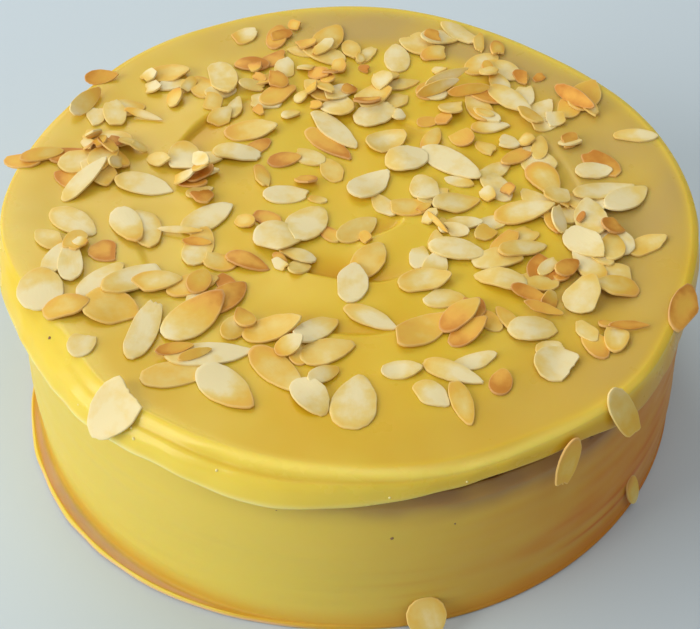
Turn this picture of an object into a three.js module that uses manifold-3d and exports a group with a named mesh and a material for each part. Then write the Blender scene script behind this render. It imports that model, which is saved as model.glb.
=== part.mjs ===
// Almond custard cake: a round sponge with a thin coat of custard on its side, a thick custard top
// that hangs over the edge as a ledge, and toasted almond flakes scattered on the top.
// Millimetres, +Z up. The origin is the middle of the sponge's foot.

import * as THREE from "three";
import { mergeVertices } from "three/addons/utils/BufferGeometryUtils.js";
import Module from "manifold-3d";

const wasm = await Module();
wasm.setup();

// Driving dimensions of the cake
const TIN_DIAMETER = 200;
const SPONGE_SHRINK = 1.5; // the baked sponge draws back from the tin's wall
const SPONGE_HEIGHT = 61;
const SPONGE_EDGE = 1.2; // size of the broken edge at the sponge's rim
const TOP_HEIGHT = 70; // level of the custard's top face
const COAT_THICKNESS = 2.3;
const LEDGE_OVERHANG = 3.2; // how far the ledge stands past the coat
const LEDGE_LIP_HEIGHT = 60; // level of the ledge's lower edge
const CREST_INSET = 1.4; // least distance of the top's crest from the lip
const FIT_GAP = 0.3; // clear space between neighbouring pieces
const SEGMENTS = 60; // facets round the cake

const SPONGE_RADIUS = TIN_DIAMETER / 2 - SPONGE_SHRINK;
const COAT_RADIUS = SPONGE_RADIUS + COAT_THICKNESS;
const LIP_RADIUS = COAT_RADIUS + LEDGE_OVERHANG;

// Driving dimensions of the almond flakes
const FLAKE_THICKNESS = 1.2;
const FLAKE_SIDES = 6;
const FLAKE_SINK = 0.5; // how far a flake presses into the custard
const FOOT_FLAKE_SINK = 0.3; // how far the upper end of a flake at the foot presses into the coat
const FLAKE_STEP = 0.9; // rise of a flake for each flake that it lies on
const MOST_STEPS = 3;
const FLAKE_FIELD = 93; // the scattered flakes lie inside this radius
const FLAKE_SPACING = 4.5; // least distance between two flakes' middles
const SHORTEST_FLAKE = 9.5; // lengths of the scattered flakes
const LONGEST_FLAKE = 16.5;
const SMALLEST_SOLID = 11; // scattered flakes shorter than this have no solid
const NARROWEST_FLAKE = 0.42; // widths of the scattered flakes, as a share of their length
const WIDEST_FLAKE = 0.66;
const BROKEN_SHARE = 0.35; // share of the scattered flakes that are broken across
const DROP_TRIES = 6; // how often a flake is dropped again to find a free place
const SCATTER_SEED = 20417;

// Where the ledge bulges out or draws in: bearing, half width in degrees, and size
const RIM_BULGES = [
  { bearing: 180, half: 32, size: 2 },
  { bearing: -134, half: 16, size: 1.1 },
  { bearing: -103, half: 22, size: 2 },
  { bearing: -43, half: 22, size: 2.6 },
  { bearing: 0, half: 25, size: 0.8 },
  { bearing: 53, half: 35, size: -1.6 },
  { bearing: 130, half: 18, size: 1 },
];

// Where the ledge's lower edge sags or rides up
const LIP_RISES = [
  { bearing: -102, half: 24, size: -0.6 },
  { bearing: -63, half: 32, size: 3.4 },
  { bearing: -61, half: 6, size: -0.8 },
  { bearing: -53, half: 6, size: 1 },
  { bearing: -44, half: 6, size: -1 },
];

// Where the ledge flares as a skirt from a crest further in
const SKIRTS = [
  { bearing: -108, half: 34, size: 4.6 },
  { bearing: -148, half: 35, size: 7 },
  { bearing: 53, half: 35, size: 1.6 },
];

// Where a fold runs round the ledge just below its crest
const FOLD = { bearing: -105, half: 48 };

// Where the top rolls over the edge in a round shoulder instead of a ridge, and how far that lets the ridge down
const ROLL = { bearing: -70, half: 28 };
const ROLL_AT_RIDGE = 0.9;

// The ledge's section from crest to lip: share of the way out, share of the way down to the lower edge,
// how far the fold lifts it, and how far the roll lets it down
const LEDGE_ROWS = [
  { out: 0, down: 0, lift: -0.4, sink: 2.1 },
  { out: 0.22, down: 0.12, lift: -0.9, sink: 1.9 },
  { out: 0.5, down: 0.27, lift: -0.2, sink: 1.5 },
  { out: 0.78, down: 0.5, lift: 0.1, sink: 0.9 },
  { out: 1, down: 0.87, lift: 0, sink: 0 },
];

// Round of the ledge's lower edge, and how far its underside reaches back and rises
const LIP_ROUND = 0.4;
const LIP_BACK = 1.4;
const LIP_BACK_RISE = 0.6;

// A low ridge runs along the crest and fades out at the left
const RIDGE_WIDTH = 3;
const RIDGE_HEIGHT = 0.8;
const RIDGE_FADE = { bearing: 180, half: 58, size: 0.9 };

// Palette knife marks on the top: radius of the arc, where it starts and ends in degrees, and its height
const KNIFE_MARKS = [
  { radius: 15, from: -100, to: 20, height: 0.9 },
  { radius: 31, from: -155, to: -35, height: 1.3 },
  { radius: 46, from: 20, to: 120, height: 0.4 },
  { radius: 51, from: -125, to: -50, height: 0.7 },
  { radius: 62, from: 112, to: 168, height: 1 },
  { radius: 66, from: -185, to: -150, height: 0.35 },
  { radius: 72, from: -70, to: 60, height: 0.3 },
];
const KNIFE_TROUGH = 13; // width of the trough inside a mark, of the step up from it, and of the fall behind it
const KNIFE_STEP = 2;
const KNIFE_FALL = 20;
const TROUGH_DEPTH = 0.7; // depth of the trough as a share of the mark's height

// The largest flakes, each laid by hand: place, length, width and turn in degrees.
// A flake with cut below 1 is broken straight across at that share of its half length.
const LARGE_FLAKES = [
  { x: -72, y: -29, length: 18, width: 8, turn: 50 },
  { x: -68, y: -40.5, length: 17, width: 13.5, turn: -20 },
  { x: -63, y: -29, length: 20, width: 9.5, turn: 35 },
  { x: -45.5, y: -31, length: 16, width: 8, turn: 20 },
  { x: -35, y: -36, length: 15, width: 8, turn: 50 },
  { x: -44, y: -44, length: 23, width: 12.5, turn: 47 },
  { x: -58, y: -48.5, length: 25, width: 8.5, turn: 76, cut: 0.8 },
  { x: -47.5, y: -66, length: 21, width: 9.5, turn: 12 },
  { x: -39, y: -58.7, length: 25, width: 8.5, turn: 6 },
  { x: -34, y: -71.5, length: 21, width: 11.5, turn: -45 },
  { x: -6.5, y: -58, length: 16, width: 9, turn: 20 },
  { x: -10, y: -50, length: 16, width: 8, turn: 40 },
  { x: -22, y: -49.5, length: 17.5, width: 9, turn: 15 },
  { x: -20.5, y: -64.5, length: 21, width: 9.5, turn: -50 },
  { x: -11, y: -75, length: 15, width: 9.5, turn: -57 },
  { x: 1, y: -76.5, length: 20, width: 12.5, turn: 80 },
  { x: -63.6, y: -77.2, length: 20, width: 14.5, turn: 40, cut: 0.7 },
  { x: -71, y: -17, length: 12, width: 8.5, turn: -20, cut: 0.4 },
  { x: -89, y: -33, length: 17, width: 13.5, turn: 100 },
  { x: -82.5, y: -4, length: 18, width: 9.5, turn: -38 },
  { x: -61, y: -7, length: 17, width: 10, turn: -70 },
  { x: -66, y: -6.5, length: 17, width: 9, turn: -65 },
  { x: -42.5, y: -3, length: 19, width: 9.5, turn: 42 },
  { x: -80.5, y: 13, length: 20, width: 6, turn: 50 },
  { x: -62.5, y: 12, length: 19, width: 8.5, turn: -15 },
  { x: -101, y: 23.5, length: 12, width: 7, turn: -13 },
  { x: -21, y: -12, length: 15.5, width: 12.5, turn: 10 },
  { x: -13, y: -6, length: 17, width: 12, turn: 60 },
  { x: 5.5, y: -21, length: 15, width: 9.5, turn: 60 },
  { x: 0.5, y: -31, length: 16, width: 9.5, turn: 85 },
  { x: 5.5, y: -44.5, length: 17, width: 6.5, turn: -27 },
  { x: -30, y: -22, length: 14, width: 6, turn: -25 },
  { x: 31, y: -18, length: 17, width: 8.5, turn: -15 },
  { x: 20, y: -50, length: 20, width: 10.5, turn: 36 },
  { x: 31, y: -45.5, length: 15.5, width: 8, turn: 45 },
  { x: 51, y: -50, length: 14.5, width: 9, turn: 8 },
  { x: 57.5, y: -63, length: 14.5, width: 13, turn: -10, cut: 0.5 },
  { x: 14, y: -65, length: 11.5, width: 6.5, turn: 5 },
  { x: 22, y: -74, length: 12, width: 8, turn: -40 },
  { x: 34, y: -62, length: 14, width: 6, turn: 25 },
  { x: 28, y: -66, length: 18, width: 6.5, turn: -25 },
  { x: 30, y: -77, length: 16, width: 6, turn: -75 },
  { x: 41, y: -69.5, length: 9.5, width: 6.5, turn: 75 },
  { x: 66.5, y: -37, length: 14, width: 10.5, turn: 60 },
  { x: 62, y: -27, length: 9, width: 5, turn: 45 },
  { x: 69, y: -15.5, length: 16, width: 10, turn: -55 },
  { x: 52, y: -1.5, length: 19, width: 9, turn: 15 },
  { x: 76.5, y: 8, length: 20, width: 7, turn: 15 },
  { x: 83, y: 4.5, length: 17, width: 9, turn: 38 },
  { x: 59, y: 14, length: 15, width: 9.5, turn: -65 },
  { x: 94.3, y: -41, length: 19.5, width: 8.5, turn: 71 },
  { x: 89, y: 33.5, length: 14, width: 6, turn: -5 },
  { x: 6, y: 11.5, length: 17, width: 10, turn: 48 },
  { x: 31, y: 21.5, length: 23, width: 9.5, turn: -42 },
  { x: -6.5, y: 31, length: 20, width: 7, turn: -45 },
  { x: -5, y: 37.5, length: 22, width: 8, turn: -50 },
  { x: -31, y: 37, length: 17, width: 9.5, turn: 10 },
  { x: -34, y: 25.5, length: 17, width: 7.5, turn: -8, cut: 0.75 },
  { x: -41, y: 62, length: 19, width: 10, turn: -75 },
  { x: 51, y: 51.5, length: 18, width: 8, turn: -45 },
  { x: -55.7, y: -30.3, length: 15, width: 8, turn: 8 },
  { x: -80.5, y: -41, length: 14, width: 9, turn: 20 },
  { x: -51, y: 23.5, length: 14, width: 10.5, turn: 100 },
  { x: 22.5, y: 9.5, length: 12, width: 9.5, turn: 110 },
  { x: 17.5, y: 23, length: 14, width: 11.5, turn: 20 },
  { x: 11.5, y: 32.5, length: 14, width: 10.5, turn: 30 },
];

// Pinches of smaller flakes dropped from the hand: middle, spread and count
const PINCHES = [
  { x: -68, y: -37, spread: 11, count: 2 },
  { x: -15, y: -56, spread: 4, count: 1 },
  { x: -86, y: -18, spread: 6, count: 3 },
  { x: -89, y: 18, spread: 7, count: 4 },
  { x: -75, y: 22, spread: 9, count: 4 },
  { x: -49, y: 15, spread: 8, count: 5 },
  { x: -21, y: 6, spread: 8, count: 2 },
  { x: -2, y: -7, spread: 5, count: 2 },
  { x: -15, y: -24, spread: 7, count: 2 },
  { x: -45, y: -20, spread: 7, count: 2 },
  { x: 19, y: -22, spread: 7, count: 3 },
  { x: 28, y: -33, spread: 7, count: 2 },
  { x: 40, y: -46, spread: 7, count: 4 },
  { x: 60, y: -54, spread: 4, count: 1 },
  { x: 74, y: -56, spread: 5, count: 2 },
  { x: 48, y: -29, spread: 7, count: 4 },
  { x: 77, y: -28, spread: 6, count: 3 },
  { x: 82, y: -16, spread: 7, count: 4 },
  { x: 46, y: -11, spread: 9, count: 5 },
  { x: 65, y: -1, spread: 8, count: 5 },
  { x: 48, y: 14, spread: 8, count: 3 },
  { x: 77, y: 18, spread: 5, count: 2 },
  { x: 30, y: 5, spread: 8, count: 4 },
  { x: 14, y: 5, spread: 6, count: 2 },
  { x: 15, y: 28, spread: 7, count: 1 },
  { x: 52, y: 32, spread: 6, count: 3 },
  { x: -12, y: 20, spread: 7, count: 2 },
  { x: -24, y: 27, spread: 6, count: 2 },
  { x: -30, y: 48, spread: 7, count: 3 },
  { x: -53, y: 61, spread: 8, count: 4 },
  { x: 58, y: 46, spread: 7, count: 3 },
  { x: 71, y: 51, spread: 5, count: 2 },
  { x: 40, y: 48, spread: 6, count: 3 },
  { x: 47, y: 64, spread: 8, count: 3 },
  { x: 14, y: 56, spread: 9, count: 6 },
  { x: 14, y: 73, spread: 5, count: 2 },
  { x: -7, y: 54, spread: 6, count: 3 },
  { x: -24, y: 78, spread: 8, count: 5 },
  { x: -7, y: 76, spread: 6, count: 3 },
  { x: 28, y: 79, spread: 6, count: 4 },
  { x: -79, y: 48, spread: 6, count: 3 },
  { x: -42, y: -38, spread: 8, count: 2 },
];

// Two flakes hang on the ledge: bearing, height of the upper end and its distance past the lip
const HANGING_FLAKES = [
  { bearing: -55.2, topHeight: 67.3, past: 0.4, length: 17.5, width: 7, lean: 13, turn: -26, cut: 0.6 },
  { bearing: -47.3, topHeight: 74.5, past: -3, length: 19.4, width: 8, lean: 28, turn: 10, cut: 0.6 },
];

// Two flakes have slid down and stick to the coat near its foot
const FOOT_FLAKES = [
  { bearing: -36, topHeight: 18, length: 14, width: 6, lean: 8, turn: 12 },
  { bearing: -78.5, topHeight: 11.5, length: 13, width: 11.5, lean: 36, turn: 6 },
];

const radians = THREE.MathUtils.degToRad;

// Share from 0 to 1 of a rounded hump round the cake, full at the bearing and gone a half width away
function hump(angle, bearing, halfWidth) {
  const turn = Math.atan2(Math.sin(angle - radians(bearing)), Math.cos(angle - radians(bearing)));
  const share = Math.min(1, Math.abs(turn) / radians(halfWidth));
  return 0.5 + 0.5 * Math.cos(Math.PI * share);
}

// Smooth step from 0 to 1 as value goes from low to high
const ease = (value, low, high) => THREE.MathUtils.smoothstep(value, low, high);

// Sum of humps round the cake
function swell(angle, humps) {
  return humps.reduce((sum, { bearing, half, size }) => sum + size * hump(angle, bearing, half), 0);
}

// The ledge's uneven outline
const lipRadius = (angle) => LIP_RADIUS + swell(angle, RIM_BULGES);

// Level of the ledge's lower edge
function lipHeight(angle) {
  const wave = 0.25 * Math.sin(5 * angle + 1) + 0.2 * Math.sin(11 * angle);
  return LEDGE_LIP_HEIGHT + wave + swell(angle, LIP_RISES);
}

// Where the top begins to fall away towards the lip
const crestRadius = (angle) => lipRadius(angle) - CREST_INSET - swell(angle, SKIRTS);

// Level of the custard's top face: a slow swell with the stepped arcs that the palette knife left
function topLevel(radius, angle) {
  let level = TOP_HEIGHT + 0.35 * Math.sin(radius / 17 + 2 * angle) * ease(radius, 0, 30);
  for (const mark of KNIFE_MARKS) {
    const middle = (mark.from + mark.to) / 2;
    const stroke = mark.height * hump(angle, middle, (mark.to - mark.from) / 2);
    const across = radius - mark.radius - 1.5 * Math.sin(4 * angle + mark.radius);
    const step = ease(across, -KNIFE_STEP, 0);
    const ridge = step * (1 - ease(across, 0, KNIFE_FALL));
    const trough = (1 - step) * ease(across, -KNIFE_TROUGH, -KNIFE_STEP);
    level += stroke * (ridge - TROUGH_DEPTH * trough);
  }
  return level;
}

// Section of the custard top's upper side from the middle out to the lip's edge, as [radius, height]
const TOP_RINGS = 9;
function upperSection(angle) {
  const crest = crestRadius(angle);
  const lip = lipRadius(angle);
  const drop = TOP_HEIGHT - lipHeight(angle);
  const fold = hump(angle, FOLD.bearing, FOLD.half);
  const roll = hump(angle, ROLL.bearing, ROLL.half);
  const ridge = RIDGE_HEIGHT * (1 - swell(angle, [RIDGE_FADE])) - ROLL_AT_RIDGE * roll;
  const points = [];
  for (let ring = 0; ring < TOP_RINGS; ring++) {
    const radius = (crest * ring) / TOP_RINGS;
    points.push([radius, topLevel(radius, angle)]);
  }
  points.push([crest - RIDGE_WIDTH, TOP_HEIGHT + ridge]);
  for (const { out, down, lift, sink } of LEDGE_ROWS) {
    points.push([THREE.MathUtils.lerp(crest, lip, out), TOP_HEIGHT - down * drop + lift * fold - sink * roll]);
  }
  return points;
}

// Height of the custard's upper side at a place on the plan. Past the lip it goes on falling steeply.
const FALL_PAST_LIP = 1.6;
function surfaceHeight(x, y) {
  const radius = Math.hypot(x, y);
  const section = upperSection(Math.atan2(y, x));
  for (let i = 1; i < section.length; i++) {
    const [innerRadius, innerHeight] = section[i - 1];
    const [outerRadius, outerHeight] = section[i];
    if (radius <= outerRadius) {
      const share = (radius - innerRadius) / (outerRadius - innerRadius);
      return THREE.MathUtils.lerp(innerHeight, outerHeight, share);
    }
  }
  const [edgeRadius, edgeHeight] = section[section.length - 1];
  return edgeHeight - FALL_PAST_LIP * (radius - edgeRadius);
}

// A turned solid whose section changes round the axis: section(angle) gives its [radius, height] points
function turnedGeometry(section) {
  const profile = section(0).map(([radius, height]) => new THREE.Vector2(radius, height));
  const geometry = new THREE.LatheGeometry(profile, SEGMENTS);
  const position = geometry.attributes.position;
  for (let side = 0; side <= SEGMENTS; side++) {
    const angle = (2 * Math.PI * (side % SEGMENTS)) / SEGMENTS;
    section(angle).forEach(([radius, height], point) => {
      const index = side * profile.length + point;
      position.setXYZ(index, radius * Math.cos(angle), radius * Math.sin(angle), height);
    });
  }
  return geometry;
}

// A closed geometry as a solid, with shared corners merged and collapsed triangles left out
function solidOf(geometry) {
  const bare = new THREE.BufferGeometry();
  bare.setAttribute("position", geometry.attributes.position);
  bare.setIndex(geometry.index);
  const merged = mergeVertices(bare, 1e-3);
  const triVerts = [];
  for (let i = 0; i < merged.index.count; i += 3) {
    const [a, b, c] = [0, 1, 2].map((corner) => merged.index.getX(i + corner));
    if (a !== b && b !== c && c !== a) triVerts.push(a, b, c);
  }
  return new wasm.Manifold(
    new wasm.Mesh({
      numProp: 3,
      vertProperties: merged.attributes.position.array,
      triVerts: new Uint32Array(triVerts),
    }),
  );
}

// The outer skin alone: air that overlapping flakes shut in is filled and any loose scrap is dropped
function filled(solid) {
  const shells = solid.decompose();
  return shells.reduce((largest, shell) => (shell.volume() > largest.volume() ? shell : largest));
}

// The solid back as a geometry
function geometryOf(solid) {
  const mesh = solid.getMesh();
  const geometry = new THREE.BufferGeometry();
  geometry.setAttribute("position", new THREE.BufferAttribute(mesh.vertProperties, 3));
  geometry.setIndex(new THREE.BufferAttribute(mesh.triVerts, 1));
  geometry.computeVertexNormals();
  return geometry;
}

// A repeatable stream of numbers from 0 to 1
function numberStream(seed) {
  let state = seed >>> 0;
  return () => {
    state = (state + 0x6d2b79f5) >>> 0;
    let mixed = Math.imul(state ^ (state >>> 15), state | 1);
    mixed ^= mixed + Math.imul(mixed ^ (mixed >>> 7), mixed | 61);
    return ((mixed ^ (mixed >>> 14)) >>> 0) / 4294967296;
  };
}

// The scattered flakes: each pinch drops its flakes round its middle, apart from one another and from laid ones
function scatterFlakes(laid) {
  const draw = numberStream(SCATTER_SEED);
  const flakes = [];
  const isFree = (x, y) =>
    Math.hypot(x, y) < FLAKE_FIELD &&
    [...laid, ...flakes].every((other) => Math.hypot(other.x - x, other.y - y) > FLAKE_SPACING);
  for (const pinch of PINCHES) {
    const reach = 1.7 * pinch.spread;
    for (let dropped = 0; dropped < pinch.count; dropped++) {
      let x;
      let y;
      for (let attempt = 0; attempt < DROP_TRIES; attempt++) {
        x = pinch.x + reach * (draw() + draw() - 1);
        y = pinch.y + reach * (draw() + draw() - 1);
        if (isFree(x, y)) break;
      }
      const length = THREE.MathUtils.lerp(SHORTEST_FLAKE, LONGEST_FLAKE, draw());
      const width = length * THREE.MathUtils.lerp(NARROWEST_FLAKE, WIDEST_FLAKE, draw());
      const turn = 180 * draw();
      const broken = draw();
      const cut = broken < BROKEN_SHARE ? 0.3 + 1.4 * broken : 1;
      flakes.push({ x, y, length, width, turn, cut });
    }
  }
  return flakes;
}

// How many earlier flakes a flake lies on
function stepsUnder(flake, earlier) {
  const near = earlier.filter((other) => {
    const reach = 0.3 * (flake.length + other.length);
    return Math.hypot(other.x - flake.x, other.y - flake.y) < reach;
  });
  return Math.min(MOST_STEPS, near.length);
}

// An almond slice: an egg outline with its point towards +X, broken straight across where it is cut
function flakeGeometry({ length, width, cut = 1 }) {
  const outline = [];
  for (let side = 0; side < FLAKE_SIDES; side++) {
    const turn = (2 * Math.PI * side) / FLAKE_SIDES;
    const along = Math.min(cut, Math.cos(turn)) * (length / 2);
    const across = (width / 2) * Math.sin(turn) * (1 - 0.22 * Math.cos(turn));
    outline.push(new THREE.Vector2(along, across));
  }
  return new THREE.ExtrudeGeometry(new THREE.Shape(outline), { depth: FLAKE_THICKNESS, bevelEnabled: false });
}

// Where a flake lies: flat on the surface under it, with one end raised by the flakes that it lies on
function flakePlacement(flake, steps) {
  const turn = radians(flake.turn);
  const along = [Math.cos(turn), Math.sin(turn)];
  const endReach = 0.35 * flake.length;
  const sideReach = 0.35 * flake.width;
  const heightAt = (forward, aside) =>
    surfaceHeight(
      flake.x + forward * along[0] - aside * along[1],
      flake.y + forward * along[1] + aside * along[0],
    );
  const pointEnd = heightAt(endReach, 0);
  const roundEnd = heightAt(-endReach, 0);
  const left = heightAt(0, sideReach);
  const right = heightAt(0, -sideReach);
  const rise = steps * FLAKE_STEP;
  const slopeAlong = (pointEnd - roundEnd) / (2 * endReach) + rise / (0.5 * flake.length);
  const slopeAcross = (left - right) / (2 * sideReach);
  const forward = new THREE.Vector3(along[0], along[1], slopeAlong).normalize();
  const aside = new THREE.Vector3(-along[1], along[0], slopeAcross);
  const up = new THREE.Vector3().crossVectors(forward, aside).normalize();
  const across = new THREE.Vector3().crossVectors(up, forward);
  const height = (pointEnd + roundEnd + left + right) / 4 + rise - FLAKE_SINK;
  return new THREE.Matrix4().makeBasis(forward, across, up).setPosition(flake.x, flake.y, height);
}

// A flake that stands against the side: its broken end hangs down and leans out by some degrees
function standingPlacement({ bearing, topHeight, length, lean, turn }, radius) {
  const matrix = new THREE.Matrix4().makeRotationZ(radians(bearing));
  matrix.multiply(new THREE.Matrix4().makeTranslation(radius, 0, topHeight));
  matrix.multiply(new THREE.Matrix4().makeRotationY(radians(90 - lean)));
  matrix.multiply(new THREE.Matrix4().makeRotationZ(radians(turn)));
  return matrix.multiply(new THREE.Matrix4().makeTranslation(length / 2, 0, -FLAKE_THICKNESS / 2));
}

// The baked sponge, a plain round of cake with its edges a little broken
function spongeGeometry() {
  return turnedGeometry(() => [
    [0, 0],
    [SPONGE_RADIUS - SPONGE_EDGE, 0],
    [SPONGE_RADIUS, SPONGE_EDGE],
    [SPONGE_RADIUS, SPONGE_HEIGHT - SPONGE_EDGE],
    [SPONGE_RADIUS - SPONGE_EDGE, SPONGE_HEIGHT],
    [0, SPONGE_HEIGHT],
  ]);
}

// The custard coat's outer face: thicker at the right, a little barrelled, with slow drag waves
function coatRadius(angle, height) {
  const drag = 0.25 * Math.sin(height / 5.5 + 3 * angle) + 0.3 * Math.sin(height / 13 - 2 * angle);
  const barrel = 0.6 * Math.sin((Math.PI * height) / SPONGE_HEIGHT);
  return COAT_RADIUS + 0.7 * Math.cos(angle) + barrel + drag;
}

// Upper edge of the coat: under the ledge, and lower at the front right, where bare sponge shows
const coatTop = (angle) => SPONGE_HEIGHT - 1.4 - 3.2 * hump(angle, -58, 50) + 0.3 * Math.sin(11 * angle);

// Section of the coat. At the left and front left its foot runs out in a thin film that ends in a bead.
const FILM_WIDTH = 5;
function coatSection(angle) {
  const inside = SPONGE_RADIUS + FIT_GAP;
  const film = hump(angle, -142, 58);
  const foot = coatRadius(angle, 0);
  const top = coatTop(angle);
  const section = [
    [inside, FIT_GAP],
    [foot + 0.6 + FILM_WIDTH * film, FIT_GAP],
    [foot + 0.9 + (FILM_WIDTH + 0.4) * film, 1.3],
    [foot + 0.7 + (FILM_WIDTH - 0.3) * film, 2.2],
    [foot + 0.6 + (FILM_WIDTH - 1.5) * film, 2.6 - 1.5 * film],
    [foot + 0.5 + 0.3 * film, 3 - 1.9 * film],
  ];
  for (const height of [7, 18, 31, 44, top - 4]) section.push([coatRadius(angle, height), height]);
  section.push([inside + 0.8, top], [inside, top - 0.3], [inside, FIT_GAP]);
  return section;
}

// The coat with the two flakes in its foot fused on
function coatGeometry() {
  let coat = solidOf(turnedGeometry(coatSection));
  for (const flake of FOOT_FLAKES) {
    const radius = coatRadius(radians(flake.bearing), flake.topHeight) - FOOT_FLAKE_SINK;
    const geometry = flakeGeometry(flake).applyMatrix4(standingPlacement(flake, radius));
    coat = coat.add(solidOf(geometry));
  }
  return geometryOf(filled(coat));
}

// Section of the custard top: its upper side out to the lip, then back under the ledge to the sponge
function topSection(angle) {
  const lip = lipRadius(angle);
  const lipLevel = lipHeight(angle);
  const underside = SPONGE_HEIGHT + FIT_GAP;
  return [
    [0, underside],
    [SPONGE_RADIUS + 2 * FIT_GAP, underside],
    [lip - LIP_BACK, lipLevel + LIP_BACK_RISE],
    [lip - LIP_ROUND, lipLevel],
    ...upperSection(angle).reverse(),
  ];
}

// The custard top with every flake on it fused on
function topGeometry() {
  let top = solidOf(turnedGeometry(topSection));
  const scattered = scatterFlakes(LARGE_FLAKES).filter((flake) => flake.length > SMALLEST_SOLID);
  const flakes = [...scattered, ...LARGE_FLAKES];
  flakes.forEach((flake, index) => {
    const steps = stepsUnder(flake, flakes.slice(0, index));
    const geometry = flakeGeometry(flake).applyMatrix4(flakePlacement(flake, steps));
    top = top.add(solidOf(geometry));
  });
  for (const flake of HANGING_FLAKES) {
    const radius = lipRadius(radians(flake.bearing)) + flake.past;
    const geometry = flakeGeometry(flake).applyMatrix4(standingPlacement(flake, radius));
    top = top.add(solidOf(geometry));
  }
  return geometryOf(filled(top));
}

function piece(name, geometry, color, roughness) {
  const material = new THREE.MeshStandardMaterial({ color, roughness, metalness: 0 });
  const mesh = new THREE.Mesh(geometry, material);
  mesh.name = name;
  return mesh;
}

const cake = new THREE.Group();
cake.add(piece("sponge_cake", spongeGeometry(), "#b98d55", 0.9));
cake.add(piece("custard_coat", coatGeometry(), "#d8bd57", 0.4));
cake.add(piece("custard_top", topGeometry(), "#e3c04c", 0.35));

export default cake;
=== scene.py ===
# The look of an almond custard cake: a sponge, its custard coat, the custard top with its ledge,
# and the toasted almond flakes on it. Shapes are worked out in millimetres and scaled to metres
# when their meshes are made.

import math

import bpy
import numpy as np
from bpy.props import FloatProperty, FloatVectorProperty, IntProperty, PointerProperty
from mathutils import Matrix, Vector


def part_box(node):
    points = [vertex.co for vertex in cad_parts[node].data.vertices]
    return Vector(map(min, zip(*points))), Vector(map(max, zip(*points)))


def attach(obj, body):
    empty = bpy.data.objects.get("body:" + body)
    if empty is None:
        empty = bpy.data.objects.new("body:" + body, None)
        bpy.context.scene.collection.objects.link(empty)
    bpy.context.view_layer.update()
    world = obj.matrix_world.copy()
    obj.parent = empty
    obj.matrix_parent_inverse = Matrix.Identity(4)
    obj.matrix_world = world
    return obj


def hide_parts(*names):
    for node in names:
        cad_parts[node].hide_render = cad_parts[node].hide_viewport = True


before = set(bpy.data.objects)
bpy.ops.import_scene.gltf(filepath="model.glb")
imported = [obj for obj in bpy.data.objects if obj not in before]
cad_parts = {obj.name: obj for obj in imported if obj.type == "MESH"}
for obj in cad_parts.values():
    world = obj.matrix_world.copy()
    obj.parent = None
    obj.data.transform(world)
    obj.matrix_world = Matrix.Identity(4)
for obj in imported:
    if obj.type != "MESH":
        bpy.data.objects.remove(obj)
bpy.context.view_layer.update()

bl_info = {
    "name": "Almond Custard Cake",
    "version": (1, 0, 0),
    "blender": (4, 5, 0),
    "location": "View3D > Sidebar > Cake",
    "description": "Dresses the solids of an almond custard cake with sponge, custard and almond flakes",
    "category": "Object",
}

MM = 0.001
SPONGE_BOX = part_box("sponge_cake")

# Sizes of the cake, from the sponge's solid outwards
SPONGE_RADIUS = SPONGE_BOX[1].x / MM
SPONGE_HEIGHT = SPONGE_BOX[1].z / MM
SPONGE_EDGE = 1.2
FIT_GAP = 0.3
COAT_INSIDE = SPONGE_RADIUS + FIT_GAP
COAT_RADIUS = SPONGE_RADIUS + 2.3
COAT_TOP = SPONGE_HEIGHT - 1.4
COAT_DIP = 3.2
COAT_BARREL = 0.6
COAT_SHIFT = 0.7
FILM_WIDTH = 5
LIP_RADIUS = COAT_RADIUS + 3.2
LIP_HEIGHT = SPONGE_HEIGHT - 1
TOP_HEIGHT = SPONGE_HEIGHT + 9
TOP_UNDERSIDE = SPONGE_HEIGHT + FIT_GAP
TOP_SEAT = SPONGE_RADIUS + 0.6
CREST_INSET = 1.4
RIDGE_WIDTH = 3
RIDGE_HEIGHT = 0.8
RIDGE_REACH = 20

# How finely the skins are divided, and the radius of the one ring in a flat face
SPONGE_SIDES = 360
SPONGE_ROWS = 50
CUSTARD_SIDES = 540
COAT_ROWS = 60
COAT_STEPS = 6
RIM_STEPS = 7
TOP_RINGS = 125
FLAT_RING = 50

# Places round the cake: bearing and half width in degrees
FOLD = (-105, 48)  # a fold runs round the ledge below its crest
ROLL = (-70, 28)  # the top rolls over the edge in a round shoulder instead of a ridge
FILM = (-142, 58)  # a film of custard spreads round the foot
LOW_COAT = (-58, 50)  # the coat stops short of the ledge
RAGGED_COAT = (-58, 60)  # the coat's upper edge is ragged
BARE_AND_SHADOW_BAND = (-62, 70)  # sponge shows through the coat below the ledge, with painted shadow under the ledge there too
STREAKED_SIDE = (-50, 60)  # the knife left streaks in the coat
SWEPT_SIDE = (-52, 38)  # one low sweep of the knife
THIN_AND_SHADED_SIDE = (-25, 85)  # the coat is thin, and its orange here is partly painted warm shade
FULL_FOOT = (-40, 60)  # most custard gathered at the foot
SHADED_FACE = (-32, 70)  # painted shade: the ledge's face is deep yellow
CREST_HIGHLIGHT = (-82, 60)  # a painted highlight runs along the crest
LIP_HIGHLIGHT = (-130, 70)  # painted highlight: the ledge's thin lower edge is pale

# The ledge's section from crest to lip: share of the way out, share of the way down to the lower edge,
# how far the fold lifts it, and how far the roll lets it down
LEDGE_ROWS = [
    (0, 0, -0.4, 2.1), (0.22, 0.12, -0.9, 1.9), (0.5, 0.27, -0.2, 1.5),
    (0.78, 0.5, 0.1, 0.9), (1, 0.87, 0, 0),
]

# How far the roll lets the crest and the ridge inside it down, and where the ridge fades out
ROLL_AT_CREST = LEDGE_ROWS[0][3]
ROLL_AT_RIDGE = 0.9
ROLL_INSIDE = 0.8
RIDGE_FADES = [(180, 58, 0.9)]

# The ledge's section under the lip: how far in, and how far up
LIP_ROWS = [(0.4, 0), (1.4, 0.6)]
FALL_PAST_LIP = 1.6

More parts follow.
